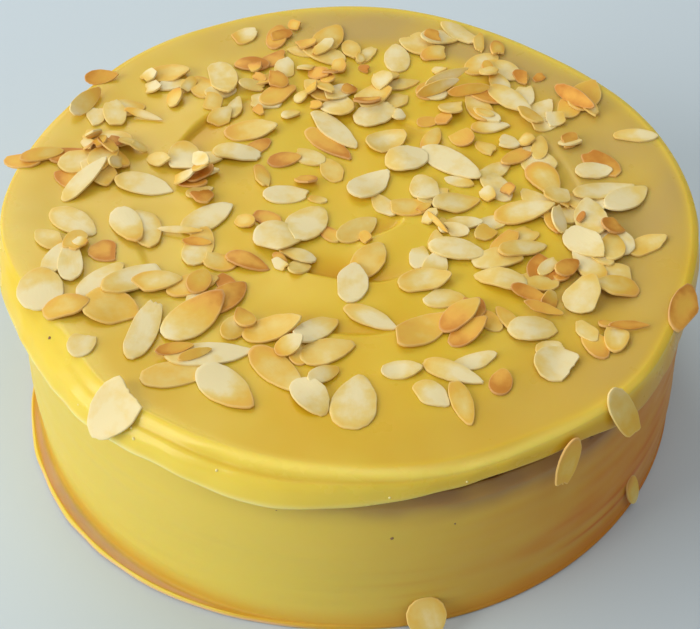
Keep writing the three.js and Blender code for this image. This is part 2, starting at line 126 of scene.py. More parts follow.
# The coat's section at the foot: how far out, and how much further with the film and with a lump in it,
# then how high, and how much higher with them
FOOT_ROWS = [
    (0.6, FILM_WIDTH, 0, FIT_GAP, 0, 0), (0.9, FILM_WIDTH + 0.4, 1, 1.3, 0, 0),
    (0.7, FILM_WIDTH - 0.3, 1, 2.2, 0, 1), (0.6, FILM_WIDTH - 1.5, -1, 2.6, -1.5, 0),
    (0.5, 0.3, 0, 3, -1.9, 0),
]

# The coat's wall: the height where it starts, how far below the coat's upper edge it ends, the radius
# of that edge, and how much lower the back of the edge is
FOOT_HEIGHT = 7
COAT_EDGE = 4
COAT_EDGE_RADIUS = COAT_INSIDE + 0.8
COAT_BACK_DROP = 0.3

# Where the ledge bulges out or draws in: bearing and half width in degrees, and size
RIM_BULGES = [
    (180, 32, 2), (-134, 16, 1.1), (-103, 22, 2), (-43, 22, 2.6),
    (0, 25, 0.8), (53, 35, -1.6), (130, 18, 1),
]

# Where the ledge's lower edge sags or rides up, and where it flares as a skirt from a crest further in
LIP_RISES = [(-102, 24, -0.6), (-63, 32, 3.4), (-61, 6, -0.8), (-53, 6, 1), (-44, 6, -1)]
SKIRTS = [(-108, 34, 4.6), (-148, 35, 7), (53, 35, 1.6)]

# Ripples round an edge: height, count round the cake, and shift
LIP_RIPPLES = [(0.25, 5, 1), (0.2, 11, 0)]
COAT_RIPPLES = [(0.3, 11, 0)]

# Slow waves that the knife dragged up the coat: height, length, and count round the cake
DRAG_WAVES = [(0.25, 5.5, 3), (0.3, 13, -2)]

# Unevenness is a sum of this many waves, divided by their usual peak
WOBBLE_WAVES = 10
WOBBLE_PEAK = 4.5

# Unevenness of the surfaces: height, size of its waves, and seed
TOP_UNEVEN = [(0.12, 26, 3)]
LIP_UNEVEN = [(0.25, 11, 5)]
LIP_LEVEL_UNEVEN = [(0.3, 14, 6)]
LEDGE_LUMPS = [(1, 17, 8), (0.4, 7, 9)]
SPONGE_CRUMB = [(1, 4.5, 11), (0.7, 2.2, 12)]
RAGGED_EDGE = [(0.5, 7, 21)]
FOOT_LUMPS = [(0.35, 13, 24)]
TOP_PATCHES = [(0.3, 24, 31)]

# How far the lumps push the ledge out and up, and from how far down, how far the streaks push the coat out,
# and how far the crumb goes into the sponge
LUMPS_OUT = 0.2
LUMPS_UP = 0.15
LUMPS_START = 3
STREAK_RELIEF = 0.09
CRUMB_RELIEF = 0.12
CRUMB_RANGE = (-1.5, 0.5)
CRUMB_INSET = 0.06

# Streaks and patches in the coat: how they are stretched along x, y and z, size, and seed
STREAKS = ((0.12, 0.12, 1), 5, 22)
COAT_PATCHES = ((0.5, 0.5, 1), 9, 23)

# A slow swell of the top: height, length, count round the cake, and the radius at which it is full
TOP_SWELL = (0.35, 17, 2, 30)

# Palette knife marks on the top: radius, start and end in degrees, and height
KNIFE_MARKS = [
    (15, -100, 20, 0.9), (31, -155, -35, 1.3), (46, 20, 120, 0.4), (51, -125, -50, 0.7),
    (62, 112, 168, 1), (66, -185, -150, 0.35), (72, -70, 60, 0.3),
]

# Widths of a stroke's trough, step and fall, size and count of its sway, and depth of the trough
KNIFE_TROUGH = 13
KNIFE_STEP = 2
KNIFE_FALL = 20
KNIFE_SWAY = (1.5, 4)
TROUGH_DEPTH = 0.7

# Where the top is thin and tan, and where it is deep golden: bearing and half width in degrees,
# inner radius, and strength
# The last tan patch, at the left, darkens the top there as painted shade.
TAN_PATCHES = [(75, 70, 74, 1), (0, 72, 59, 0.85), (-58, 40, 74, 0.3), (175, 85, 45, 0.22)]
GOLDEN_PATCHES = [(-75, 65, 62, 0.28), (-35, 40, 70, 0.2)]
PATCH_FADE = 14

# Where the rim is lemon yellow, made paler as painted sheen, and where it reaches further in over the top:
# bearing and half width in degrees, and strength or width
RIM_TINTS_AND_SHEEN = [(-125, 85, 0.9), (65, 85, 0.7)]
RIM_REACHES = [(-165, 75, 7), (65, 85, 5)]
RIM_TINT = 0.1
RIM_REACH = 4

# The largest flakes: x, y, length, width, turn in degrees, toast from 0 to 1, and the share of the half
# length at which it is broken across, below 0 for a break at the round end
LARGE_FLAKES = [
    (-72, -29, 18, 8, 50, 0, 1), (-68, -40.5, 17, 13.5, -20, 0.35, 1), (-63, -29, 20, 9.5, 35, 0, 1),
    (-45.5, -31, 16, 8, 20, 0.3, 1), (-35, -36, 15, 8, 50, 0.8, 1), (-44, -44, 23, 12.5, 47, 0.45, 1),
    (-58, -48.5, 25, 8.5, 76, 0, 0.8), (-47.5, -66, 21, 9.5, 12, 0.35, 1), (-39, -58.7, 25, 8.5, 6, 0, 1),
    (-34, -71.5, 21, 11.5, -45, 0, 1), (-6.5, -58, 16, 9, 20, 0.2, 1), (-10, -50, 16, 8, 40, 0, 1),
    (-22, -49.5, 17.5, 9, 15, 0.4, 1), (-20.5, -64.5, 21, 9.5, -50, 0.35, 1), (-11, -75, 15, 9.5, -57, 0, 1),
    (1, -76.5, 20, 12.5, 80, 0.05, 1), (-63.6, -77.2, 20, 14.5, 222, 0.02, -0.6),
    (-71, -17, 12, 8.5, -20, 0.85, 0.4),
    (-89, -33, 17, 13.5, 100, 0, 1), (-82.5, -4, 18, 9.5, -38, 0, 1), (-61, -7, 17, 10, -70, 0, 1),
    (-66, -6.5, 17, 9, -65, 0.05, 1), (-42.5, -3, 19, 9.5, 42, 0, 1), (-80.5, 13, 20, 6, 50, 0, 1),
    (-62.5, 12, 19, 8.5, -15, 0, 1), (-101, 23.5, 12, 7, -13, 0.6, 1), (-21, -12, 15.5, 12.5, 10, 0.1, 1),
    (-13, -6, 17, 12, 60, 0, 1), (5.5, -21, 15, 9.5, 60, 0.35, 1), (0.5, -31, 16, 9.5, 85, 0.05, 1),
    (5.5, -44.5, 17, 6.5, -27, 0, 1), (-30, -22, 14, 6, -25, 0.65, 1), (31, -18, 17, 8.5, -15, 0, 1),
    (20, -50, 20, 10.5, 36, 0.5, 1), (31, -45.5, 15.5, 8, 45, 0.7, 1), (51, -50, 14.5, 9, 8, 0, 1),
    (57.5, -63, 14.5, 13, -10, 0, 0.5), (14, -65, 11.5, 6.5, 5, 0, 1), (22, -74, 12, 8, -40, 0, 1),
    (34, -62, 14, 6, 25, 0, 1), (28, -66, 18, 6.5, -25, 0, 1), (30, -77, 16, 6, -75, 0.3, 1),
    (41, -69.5, 9.5, 6.5, 75, 0.9, 1), (66.5, -37, 14, 10.5, 60, 0.05, 1), (62, -27, 9, 5, 45, 0.85, 1),
    (69, -15.5, 16, 10, -55, 0, 1), (52, -1.5, 19, 9, 15, 0, 1), (76.5, 8, 20, 7, 15, 0, 1),
    (83, 4.5, 17, 9, 38, 0, 1), (59, 14, 15, 9.5, -65, 0.2, 1), (94.3, -41, 19.5, 8.5, 71, 0.6, 1),
    (89, 33.5, 14, 6, -5, 0, 1), (6, 11.5, 17, 10, 48, 0.05, 1), (31, 21.5, 23, 9.5, -42, 0, 1),
    (-6.5, 31, 20, 7, -45, 0.7, 1), (-5, 37.5, 22, 8, -50, 0, 1), (-31, 37, 17, 9.5, 10, 0.3, 1),
    (-34, 25.5, 17, 7.5, -8, 0, 0.75), (-41, 62, 19, 10, -75, 0.15, 1), (51, 51.5, 18, 8, -45, 0, 1),
    (-55.7, -30.3, 15, 8, 8, 0.15, 1), (-80.5, -41, 14, 9, 20, 0.3, 1), (-51, 23.5, 14, 10.5, 100, 0.05, 1),
    (22.5, 9.5, 12, 9.5, 110, 0.05, 1), (17.5, 23, 14, 11.5, 20, 0.1, 1), (11.5, 32.5, 14, 10.5, 30, 0.1, 1),
]

# Pinches of smaller flakes: x, y, spread, count, and the share that is toasted
PINCHES = [
    (-68, -37, 11, 2, 0.5), (-15, -56, 4, 1, 0.1), (-86, -18, 6, 3, 0), (-89, 18, 7, 4, 0.5),
    (-75, 22, 9, 4, 0.1), (-49, 15, 8, 5, 0.3), (-21, 6, 8, 2, 0.5), (-2, -7, 5, 2, 0.3),
    (-15, -24, 7, 2, 0.4), (-45, -20, 7, 2, 0.6), (19, -22, 7, 3, 0.4), (28, -33, 7, 2, 0.5),
    (40, -46, 7, 4, 0.5), (60, -54, 4, 1, 0), (74, -56, 5, 2, 0.4), (48, -29, 7, 4, 0.5),
    (77, -28, 6, 3, 0.4), (82, -16, 7, 4, 0.2), (46, -11, 9, 5, 0.4), (65, -1, 8, 5, 0.3),
    (48, 14, 8, 3, 0.2), (77, 18, 5, 2, 0.7), (30, 5, 8, 4, 0.3), (14, 5, 6, 2, 0),
    (15, 28, 7, 1, 0), (52, 32, 6, 3, 0.4), (-12, 20, 7, 2, 0), (-24, 27, 6, 2, 0.6),
    (-30, 48, 7, 3, 0.1), (-53, 61, 8, 4, 0.1), (58, 46, 7, 3, 0.2), (71, 51, 5, 2, 1),
    (40, 48, 6, 3, 0.5), (47, 64, 8, 3, 0.1), (14, 56, 9, 6, 0.3), (14, 73, 5, 2, 0),
    (-7, 54, 6, 3, 0.1), (-24, 78, 8, 5, 0.4), (-7, 76, 6, 3, 0.1), (28, 79, 6, 4, 0.1),
    (-79, 48, 6, 3, 0.3), (-42, -38, 8, 2, 0.7),
]
SCATTER_SEED = 20417

# Thin slivers and bits that lie on the rest: x, y, length, width, turn in degrees, toast,
# and tilt in degrees
SLIVERS = [
    (-50, -9, 14, 2.2, -10, 0.1, 35), (26, -7, 11, 1.8, -55, 0.3, 50), (-65, 44.5, 13, 2.6, -20, 0.1, 30),
    (78, -49, 12, 2.6, 4, 0.75, 40), (71.5, 50.5, 17, 5, -48, 0.8, 45), (28, 56, 15, 4, 25, 0.2, 50),
    (31, 60, 16, 4, 28, 0.15, 45), (38, 55, 14, 4, 10, 0.5, 50), (-84, 50, 15, 6, 60, 0.3, 30),
    (-80, 63, 11, 5, 10, 0.75, 30), (-95, 25, 14, 5, 20, 0.45, 12), (-45, 17, 13, 5, -60, 0.15, 35),
    (-45, -13.5, 9, 2.6, -8, 0.75, 30), (-17, -57, 9, 6, 30, 0.15, 12), (-7.5, -67, 10, 5, 30, 0.1, 15),
    (-33, -49, 9, 6.5, 60, 0.2, 15), (-30, -46, 8, 6, 120, 0.5, 10), (-43.5, -30.5, 10, 7, 70, 0.45, 10),
    (51.2, -36.5, 12, 4, -20, 0.75, 20), (56.2, -39, 8, 5, 70, 0.7, 15), (54.5, -42.5, 12, 3, -12, 0.65, 30),
    (62.6, -26.4, 9, 5.5, 40, 0.8, 10), (-48.8, -57.6, 11, 3.5, 15, 0.6, 20),
    (-43.1, -59.5, 10, 3, 25, 0.55, 25),
]

# How far out flakes lie, how far apart their middles are, and how far to the front broken bits lie
FLAKE_FIELD = 93
FLAKE_SPACING = 4.5
FRONT_LIMIT = -66

# Flakes that stand against the side: bearing, upper end's height, its radius past the surface there,
# length, width, lean and turn in degrees, and toast
HANGING_FLAKES = [(-55.2, 67.3, 0.4, 17.5, 7, 13, -26, 0.4), (-47.3, 74.5, -3, 19.4, 8, 28, 10, 0.4)]
FOOT_FLAKES = [(-36, 18, -0.3, 14, 6, 8, 12, 0.4), (-78.5, 11.5, -0.3, 13, 11.5, 36, 6, 0.1)]
HANGING_BREAK = 0.6

# Columns of the tables of flakes that lie on the top and that stand against the side
LYING = ("x", "y", "length", "width", "turn", "toast")
STANDING = ("bearing", "upper", "past", "length", "width", "lean", "turn", "toast")

# Scattered flakes: their reach from the middle of a pinch as a share of its spread, tries to land apart,
# least length and range of lengths, the same for the width as a share of the length, the share that is
# broken across, where the break is at least and how fast it moves out, and the toast of toasted and pale ones
PINCH_REACH = 1.7
DROP_TRIES = 6
SHORTEST_FLAKE = 9.5
LENGTH_RANGE = 7
NARROWEST_FLAKE = 0.42
WIDTH_RANGE = 0.24
BROKEN_SHARE = 0.35
LEAST_BREAK = 0.3
BREAK_SPEED = 1.4
TOASTED_RANGE = (0.4, 1)
PALE_RANGE = (0, 0.32)

# Broken bits: distance from the flake that they fell beside, length, width as a share of the length,
# place of the break, tilt in degrees, and the power that makes most of them pale
BIT_SEED = 77
BIT_DISTANCES = (5, 12)
BIT_LENGTHS = (5, 11)
BIT_WIDTHS = (0.4, 0.8)
BIT_BREAKS = (0.2, 0.9)
BIT_TILTS = (-22, 22)
BIT_PALENESS = 1.6

# The most chips in the outline of a flake, a broken bit and a sliver
FLAKE_CHIPS = 2
BIT_CHIPS = 4
SLIVER_CHIPS = 1

# The grid of heights that flakes settle on, the shares of a flake's length and width that rest on it,
# the steepest slope, how deep a flake sinks in, and how far a tilt lifts it as a share of its width
GROUND_REACH = 116
GROUND_PITCH = 0.8
GROUND_PLACES = np.arange(-GROUND_REACH, GROUND_REACH + GROUND_PITCH, GROUND_PITCH)
RESTING_LENGTH = np.linspace(-0.48, 0.48, 25)
RESTING_WIDTH = np.linspace(-0.46, 0.46, 13)
NO_GROUND = -1e6
STEEPEST = 1.3
FLAKE_SINK = 0.25
TILT_LIFT = 0.42

# Rings of a flake's mesh, from its upper face over its edge to its lower face: share of the outline,
# and height as a share of half the thickness
FLAKE_RINGS = [(0.45, 1), (0.88, 1), (0.97, 0.92), (1, 0.5), (1, -0.9), (0.85, -1)]
FLAKE_SIDES = 36
FLAKE_CREASE = math.radians(30)
FLAKE_SEED = 71

# A flake's outline: how far it is drawn to a point, how much fuller its round end is, how rough it is,
# where chips cut it, the least reach that they divide by, and the slant, bend and roughness of a break
POINTEDNESS = (0, 0.45)
FULLNESS = (0.05, 0.25)
OUTLINE_ROUGHNESS = 0.012
CHIP_LIMITS = (0.8, 0.97)
LEAST_REACH = 0.01
BREAK_SLANTS = (-0.35, 0.35)
BREAK_BENDS = (-0.1, 0.25)
BREAK_ROUGHNESS = 0.02

# A flake's curl, cup and twist, and its waviness, as shares of its width, and the most of each
FLAKE_WARP = (0.05, 0.015, 0.03)
MOST_WARP = 1.3
WAVINESS = 0.04
MOST_WAVINESS = 1
WAVE_COUNT = 2.5
WAVE_SHIFTS = (0, 6)

# How a flake browns: the part of its toast that is even, and mean and spread of what an end and the edge
# get beyond it
EVEN_TOAST = 0.95
BROWNING_MEANS = (0, 0.18)
BROWNING_SPREADS = (0.2, 0.12)
PATTERN_ROOM = 400

# Crumbs: the place of one on the top, and for those in the coat bearings in degrees, depth below
# the sponge's top, the power that keeps most of them high, radius, how deep they sit, and roughness
CRUMB_ON_TOP = (-84.6, -50.1)
CRUMB_SEED = 41
CRUMB_BEARINGS = (-140, -30)
CRUMB_DEPTHS = (4, 20)
CRUMB_GATHER = 2.2
CRUMB_RADII = (0.3, 0.6)
CRUMB_SINK = 0.3
CRUMB_ROUGHNESS = 0.16

# Bubbles in the ledge: mean and spread of their bearings in degrees, place across the ledge, radius,
# and roughness
BUBBLE_SEED = 51
BUBBLE_BEARINGS = (-112, 22)
BUBBLE_PLACES = (0.3, 1)
BUBBLE_BAND = 0.6
BUBBLE_RADII = (0.3, 0.5)
BUBBLE_ROUGHNESS = 0.02

# Small balls on the top sit this deep, and are divided into rows and columns
BALL_SINK = 0.2
BALL_ROWS = 6
BALL_COLUMNS = 10

# Marks in the coat: the heights or distances over which they come and go, and how strong they are;
# the band below the ledge is partly painted shadow, and the orange at the right partly painted warm shade
BARE_FADE = (2, 13)
BARE_SHARES = (0.6, 1)
STREAK_RANGE = (0.2, 1.1)
STREAK_RISE = (4, 12)
STREAK_FADE = (20, 34)
STREAK_SHARE = 0.4
RELIEF_RISE = (3, 9)
SWEEP_HEIGHT = 19
SWEEP_SLOPE = 3
SWEEP_WIDTH = 4
SWEEP_SHARE = 0.16
THIN_EVEN = 0.72
THIN_BY_PATCH = 0.1
THIN_BY_STREAK = 0.08
FOOT_FADE = (1, 10)
FOOT_END = (2, 4)
FOOT_SHARES = (0.6, 1)
FILM_START = (1.2, 2.2)
FILM_FADE = (1.3, 2)

# Marks in the top: the distances past the crest or above the lip over which they come and go,
# and how strong they are; the troughs, the groove below the crest and the ledge's face are painted shade,
# and the crest and the lip carry painted highlights
TOP_END = (-5, 0)
FACE_START = (0, 1.2)
FOLD_PLACE = 0.3
FOLD_WIDTH = 0.14
FOLD_GROOVE_SHADE = 0.4
FOLD_SHADE = 0.5
TROUGH_SHADE = 0.8
CREST_RISE = 0.4
CREST_BACK = 0.4
CREST_WIDTH = 1.6
CREST_HIGHLIGHT_SHARE = 1.3
LIP_START = (0.5, 1)
LIP_FADE = (0.2, 2.6)
LIP_SHARES = (0.03, 1)

# Sizes of the patterns in the materials, and how much the almond's patches change its toast
CUSTARD_RIPPLE = 9
CUSTARD_CLOUD = 30
SPONGE_PORE = 2.6
SPONGE_GRAIN = 5
ALMOND_PATCH = 5
PATCH_STRENGTH = 0.65
ALMOND_GRAIN = 0.9

# Lights: share of the window light's power, size and place in metres, and colour
LIGHTS = {
    "window": (1, 1.7, (-2.1, -0.78, 1.03), (1, 0.98, 0.95)),
    "sky": (0.21, 1.0, (-0.6, 1.05, 1.05), (0.98, 0.99, 1)),
    "ceiling": (0.165, 1.2, (0.3, -0.7, 1.9), (1, 0.99, 0.97)),
}
LIGHT_TARGET = (0, 0, 0.04)
ROOM_COLOUR = (0.91, 0.95, 0.99, 1)
ROOM_STRENGTH = 0.335
CAMERA_TARGET = (-0.00021, 0, 0.02599)
SENSOR_WIDTH = 36
FLOOR_REACH = 4


def linear_colour(code):
    """An sRGB hex colour as linear red, green and blue."""
    shares = [int(code[start:start + 2], 16) / 255 for start in (1, 3, 5)]
    return [share / 12.92 if share <= 0.04045 else ((share + 0.055) / 1.055) ** 2.4 for share in shares]


def colour_property(name, description, code):
    """A colour that the user can change."""
    return FloatVectorProperty(
        name=name, description=description, subtype="COLOR", size=4, min=0, max=1,
        default=(*linear_colour(code), 1),
    )


class CakeColours(bpy.types.PropertyGroup):
    """Colours of the cake's materials"""

    custard: colour_property("Custard", "Thick set custard", "#E0B828")
    custard_light: colour_property("Light custard", "Lighter clouds in the thick custard", "#E6C642")
    # Painted shade: the knife troughs, the groove below the crest and the ledge's face take this colour;
    # golden patches on the top take it too.
    custard_deep_and_shade: colour_property("Deep custard", "Custard in the troughs of the knife marks", "#D29C0A")
    # Lemon yellow of the custard over the edge, made paler as painted sheen.
    custard_rim_and_sheen: colour_property("Rim custard", "Lemon yellow custard that hangs over the edge", "#EBD254")
    # Painted highlight: a pale band along the crest.
    custard_crest_highlight: colour_property("Crest custard", "Thick custard that glows along the crest", "#FAE068")
    # Painted highlight: the ledge's thin lower edge where it catches the light; the bubbles take this colour
    # too.
    custard_lip_highlight: colour_property("Lip custard", "Thin pale edge of the hanging custard", "#FAE89A")
    custard_thin: colour_property("Thin custard", "Custard so thin that the sponge shows through", "#C4A55A")
    custard_side: colour_property("Side custard", "Custard coat on the side", "#E6CB58")
    # Thin orange custard at the right of the coat, which also stands in for warm light in the shade there:
    # partly painted shade.
    custard_drawn_and_shade: colour_property("Drawn custard", "Side custard that the knife took thin", "#CC6E00")
    custard_foot: colour_property("Foot custard", "Custard that gathered at the foot", "#D2962A")
    custard_film: colour_property("Custard film", "Thin film of custard round the foot", "#E6BA90")
    sponge: colour_property("Sponge", "Baked sponge", "#96704E")
    sponge_pore_shade: colour_property("Sponge pores", "Shaded pores of the sponge", "#674B34")
    almond: colour_property("Almond", "Blanched almond", "#EEDCA6")
    almond_cream: colour_property("Creamy almond", "Almond that the oven just dried", "#E8C970")
    almond_golden: colour_property("Golden almond", "Lightly toasted almond", "#E6B848")
    almond_toasted: colour_property("Toasted almond", "Well toasted almond", "#E4AA44")
    almond_scorched: colour_property("Scorched almond", "Darkest spots of a toasted almond", "#CA842A")
    almond_edge: colour_property("Almond edge", "Pale cut edge of a slice", "#F2E0A8")


class CakeSizes(bpy.types.PropertyGroup):
    """Sizes of the cake's finer forms"""

    flake_thickness: FloatProperty(
        name="Flake thickness", description="Thickness of an almond flake", default=0.7 * MM, unit="LENGTH"
    )
    fragments: IntProperty(name="Fragments", description="Number of broken bits of almond", default=170)
    bubbles: IntProperty(name="Bubbles", description="Number of air bubbles along the ledge", default=9)
    crumbs: IntProperty(name="Crumbs", description="Number of sponge crumbs caught in the coat", default=9)


class StageSettings(bpy.types.PropertyGroup):
    """Camera, light and floor"""

    lens: FloatProperty(
        name="Lens", description="Focal length in millimetres", default=95.4, subtype="DISTANCE_CAMERA"
    )
    distance: FloatProperty(name="Distance", description="Camera's distance", default=0.6057, unit="LENGTH")
    elevation: FloatProperty(
        name="Elevation", description="Camera's height above the horizon",
        default=math.radians(47.41), subtype="ANGLE",
    )
    roll: FloatProperty(
        name="Roll", description="Camera's roll", default=math.radians(-0.22), subtype="ANGLE"
    )
    key: FloatProperty(name="Window light", description="Power of the window", default=44.5, unit="POWER")
    floor: colour_property("Floor", "Plain pale floor", "#C9D5DB")


def number_stream(seed):
    """A repeatable stream of numbers from 0 to 1."""
    mask = 0xFFFFFFFF
    state = seed
    while True:
        state = (state + 0x6D2B79F5) & mask
        mixed = ((state ^ (state >> 15)) * (state | 1)) & mask
        mixed ^= (mixed + (mixed ^ (mixed >> 7)) * (mixed | 61)) & mask
        yield ((mixed ^ (mixed >> 14)) & mask) / (mask + 1)


def between(limits, share):
    """The value at a share of the way from the first limit to the second."""
    low, high = limits
    return low + (high - low) * share


def ease(value, low, high):
    """A smooth step from 0 to 1 as value goes from low to high."""
    share = np.clip((value - low) / (high - low), 0, 1)
    return share * share * (3 - 2 * share)


def hump(angle, bearing, half):
    """A rounded hump round the cake, 1 at the bearing and 0 from a half width away."""
    turn = np.angle(np.exp(1j * (angle - math.radians(bearing))))
    share = np.minimum(1, np.abs(turn) / math.radians(half))
    return 0.5 + 0.5 * np.cos(np.pi * share)


def swell(angle, humps):
    """Sum of humps round the cake."""
    return sum(size * hump(angle, bearing, half) for bearing, half, size in humps)


def ripple(angle, waves):
    """Sum of even waves round the cake."""
    return sum(height * np.sin(count * angle + shift) for height, count, shift in waves)


def wobble(points, size, seed):
    """Smooth unevenness from about -1 to 1, in waves of about this size."""
    draw = np.random.default_rng(seed)
    directions = draw.normal(size=(WOBBLE_WAVES, 3))
    directions /= np.linalg.norm(directions, axis=1, keepdims=True)
    shifts = draw.uniform(0, 2 * np.pi, WOBBLE_WAVES)
    waves = np.sin(points @ directions.T * (2 * np.pi / size) + shifts)
    return waves.sum(axis=-1) / WOBBLE_PEAK


def uneven(points, layers):
    """Sum of layers of unevenness, each with a height, a size and a seed."""
    return sum(height * wobble(points, size, seed) for height, size, seed in layers)


def stretched(points, stretch, size, seed):
    """Unevenness that is drawn out where the stretch is below 1."""
    return wobble(points * np.array(stretch), size, seed)


def full_turn(sides):
    """Angles of this many sides, evenly round a full turn."""
    return np.arange(sides) * (2 * np.pi / sides)


def on_plan(radius, angle, height):
    """Points from their radius, angle and height."""
    radius, angle, height = np.broadcast_arrays(radius, angle, height)
    return np.stack([radius * np.cos(angle), radius * np.sin(angle), height], axis=-1)


def section_row(radius, height, angle):
    """Radius and height of one row of a turned skin at each angle."""
    return np.stack(np.broadcast_arrays(radius, height, angle)[:2], axis=-1)


def lip_radius(angle):
    """The ledge's uneven outline."""
    return LIP_RADIUS + swell(angle, RIM_BULGES)


def lip_height(angle):
    """Level of the ledge's lower edge: it sags at the front left and rides up at the front right."""
    return LIP_HEIGHT + ripple(angle, LIP_RIPPLES) + swell(angle, LIP_RISES)


def crest_radius(angle):
    """Where the top begins to fall away: well in from the lip where the ledge flares as a skirt."""
    return lip_radius(angle) - CREST_INSET - swell(angle, SKIRTS)


def ridge_height(angle):
    """Height of the ridge along the crest: it fades out at the left, and where the top rolls over."""
    return RIDGE_HEIGHT * (1 - swell(angle, RIDGE_FADES)) - ROLL_AT_RIDGE * hump(angle, *ROLL)


def knife_work(radius, angle):
    """Height of the ridges and depth of the troughs that the palette knife left, stroke over stroke."""
    sway, count = KNIFE_SWAY
    ridge, trough = 0 * radius, 0 * radius
    for arc, start, end, height in KNIFE_MARKS:
        stroke = height * hump(angle, (start + end) / 2, (end - start) / 2)
        across = radius - arc - sway * np.sin(count * angle + arc)
        step = ease(across, -KNIFE_STEP, 0)
        ridge = ridge + stroke * step * (1 - ease(across, 0, KNIFE_FALL))
        trough = trough + stroke * ease(across, -KNIFE_TROUGH, -KNIFE_STEP) * (1 - step)
    return ridge, trough


def top_level(radius, angle):
    """Level of the top face: a slow swell with the knife's strokes, rising to a ridge along the crest."""
    ridge, trough = knife_work(radius, angle)
    height, length, count, full = TOP_SWELL
    wave = height * np.sin(radius / length + count * angle) * ease(radius, 0, full)
    level = TOP_HEIGHT + wave + ridge - TROUGH_DEPTH * trough
    level = level + uneven(on_plan(radius, angle, 0.0), TOP_UNEVEN)
    crest = crest_radius(angle)
    share = ease(radius, crest - RIDGE_REACH, crest - RIDGE_WIDTH)
    return level * (1 - share) + (TOP_HEIGHT + ridge_height(angle)) * share


def rim_controls(angle):
    """Points that the ledge's section runs through, from the crest down to the lip and under it."""
    ring = on_plan(LIP_RADIUS, angle, 0.0)
    lip = lip_radius(angle) + uneven(ring, LIP_UNEVEN)
    low = lip_height(angle) + uneven(ring, LIP_LEVEL_UNEVEN)
    crest = crest_radius(angle)
    band = lip - crest
    drop = TOP_HEIGHT - low
    fold, roll = hump(angle, *FOLD), hump(angle, *ROLL)
    ridge = TOP_HEIGHT + ridge_height(angle)
    rows = [(crest - RIDGE_WIDTH, ridge), (crest - 0.5 * RIDGE_WIDTH, ridge - ROLL_INSIDE * roll)]
    for out, down, lift, sink in LEDGE_ROWS:
        rows.append((crest + out * band, TOP_HEIGHT - down * drop + lift * fold - sink * roll))
    rows += [(lip - inset, low + rise) for inset, rise in LIP_ROWS]
    return np.array([section_row(radius, height, angle) for radius, height in rows])


def smooth_curve(controls, steps):
    """A smooth curve through the control points, with this many steps between two of them."""
    ends = [2 * controls[:1] - controls[1:2], controls, 2 * controls[-1:] - controls[-2:-1]]
    padded = np.concatenate(ends)
    points = []
    for start in range(len(controls) - 1):
        before, first, second, after = padded[start:start + 4]
        for share in np.arange(steps) / steps:
            points.append(0.5 * (
                2 * first + (second - before) * share
                + (2 * before - 5 * first + 4 * second - after) * share ** 2
                + (3 * first - before - 3 * second + after) * share ** 3
            ))
    points.append(controls[-1])
    return np.array(points)


def surface_height(x, y):
    """Height of the custard's upper side at places on the plan. Past the lip it goes on falling."""
    radius = np.hypot(x, y)
    angle = np.arctan2(y, x)
    rim = rim_controls(angle)[:-len(LIP_ROWS)]
    height = top_level(radius, angle)
    for inner, outer in zip(rim[:-1], rim[1:]):
        start, level = inner[..., 0], inner[..., 1]
        share = np.clip((radius - start) / (outer[..., 0] - start), 0, 1)
        height = np.where(radius > start, level + share * (outer[..., 1] - level), height)
    past = np.maximum(0, radius - rim[-1][..., 0])
    return height - FALL_PAST_LIP * past


def coat_radius(angle, height):
    """The coat's outer face: thicker at the right, a little barrelled, with slow drag waves."""
    drag = sum(depth * np.sin(height / length + count * angle) for depth, length, count in DRAG_WAVES)
    barrel = COAT_BARREL * np.sin(np.pi * height / SPONGE_HEIGHT)
    return COAT_RADIUS + COAT_SHIFT * np.cos(angle) + barrel + drag


def coat_top(angle):
    """Upper edge of the coat: low and ragged at the front right, where bare sponge shows."""
    ragged = uneven(on_plan(COAT_INSIDE, angle, 0.0), RAGGED_EDGE) * hump(angle, *RAGGED_COAT)
    return COAT_TOP - COAT_DIP * hump(angle, *LOW_COAT) + ripple(angle, COAT_RIPPLES) + ragged


def coat_front(angles, top):
    """Rows of the coat's outer side: film and bead at the foot, wall, and edge under the ledge."""
    foot = coat_radius(angles, 0)
    film = hump(angles, *FILM)
    lump = film * uneven(on_plan(foot, angles, 0.0), FOOT_LUMPS)
    rows = []
    for out, out_film, out_lump, up, up_film, up_lump in FOOT_ROWS:
        radius = foot + out + out_film * film + out_lump * lump
        rows.append(section_row(radius, up + up_film * film + up_lump * lump, angles))
    rows.append(section_row(coat_radius(angles, FOOT_HEIGHT), FOOT_HEIGHT, angles))
    low = smooth_curve(np.array(rows), COAT_STEPS)
    heights = FOOT_HEIGHT + np.linspace(0, 1, COAT_ROWS)[1:, None] * (top - COAT_EDGE - FOOT_HEIGHT)
    wall = np.stack([coat_radius(angles, heights), heights], axis=-1)
    bend = np.array([*wall[-2:], section_row(COAT_EDGE_RADIUS, top, angles)])
    return np.concatenate([low, wall, smooth_curve(bend, COAT_STEPS)[COAT_STEPS + 1:]])


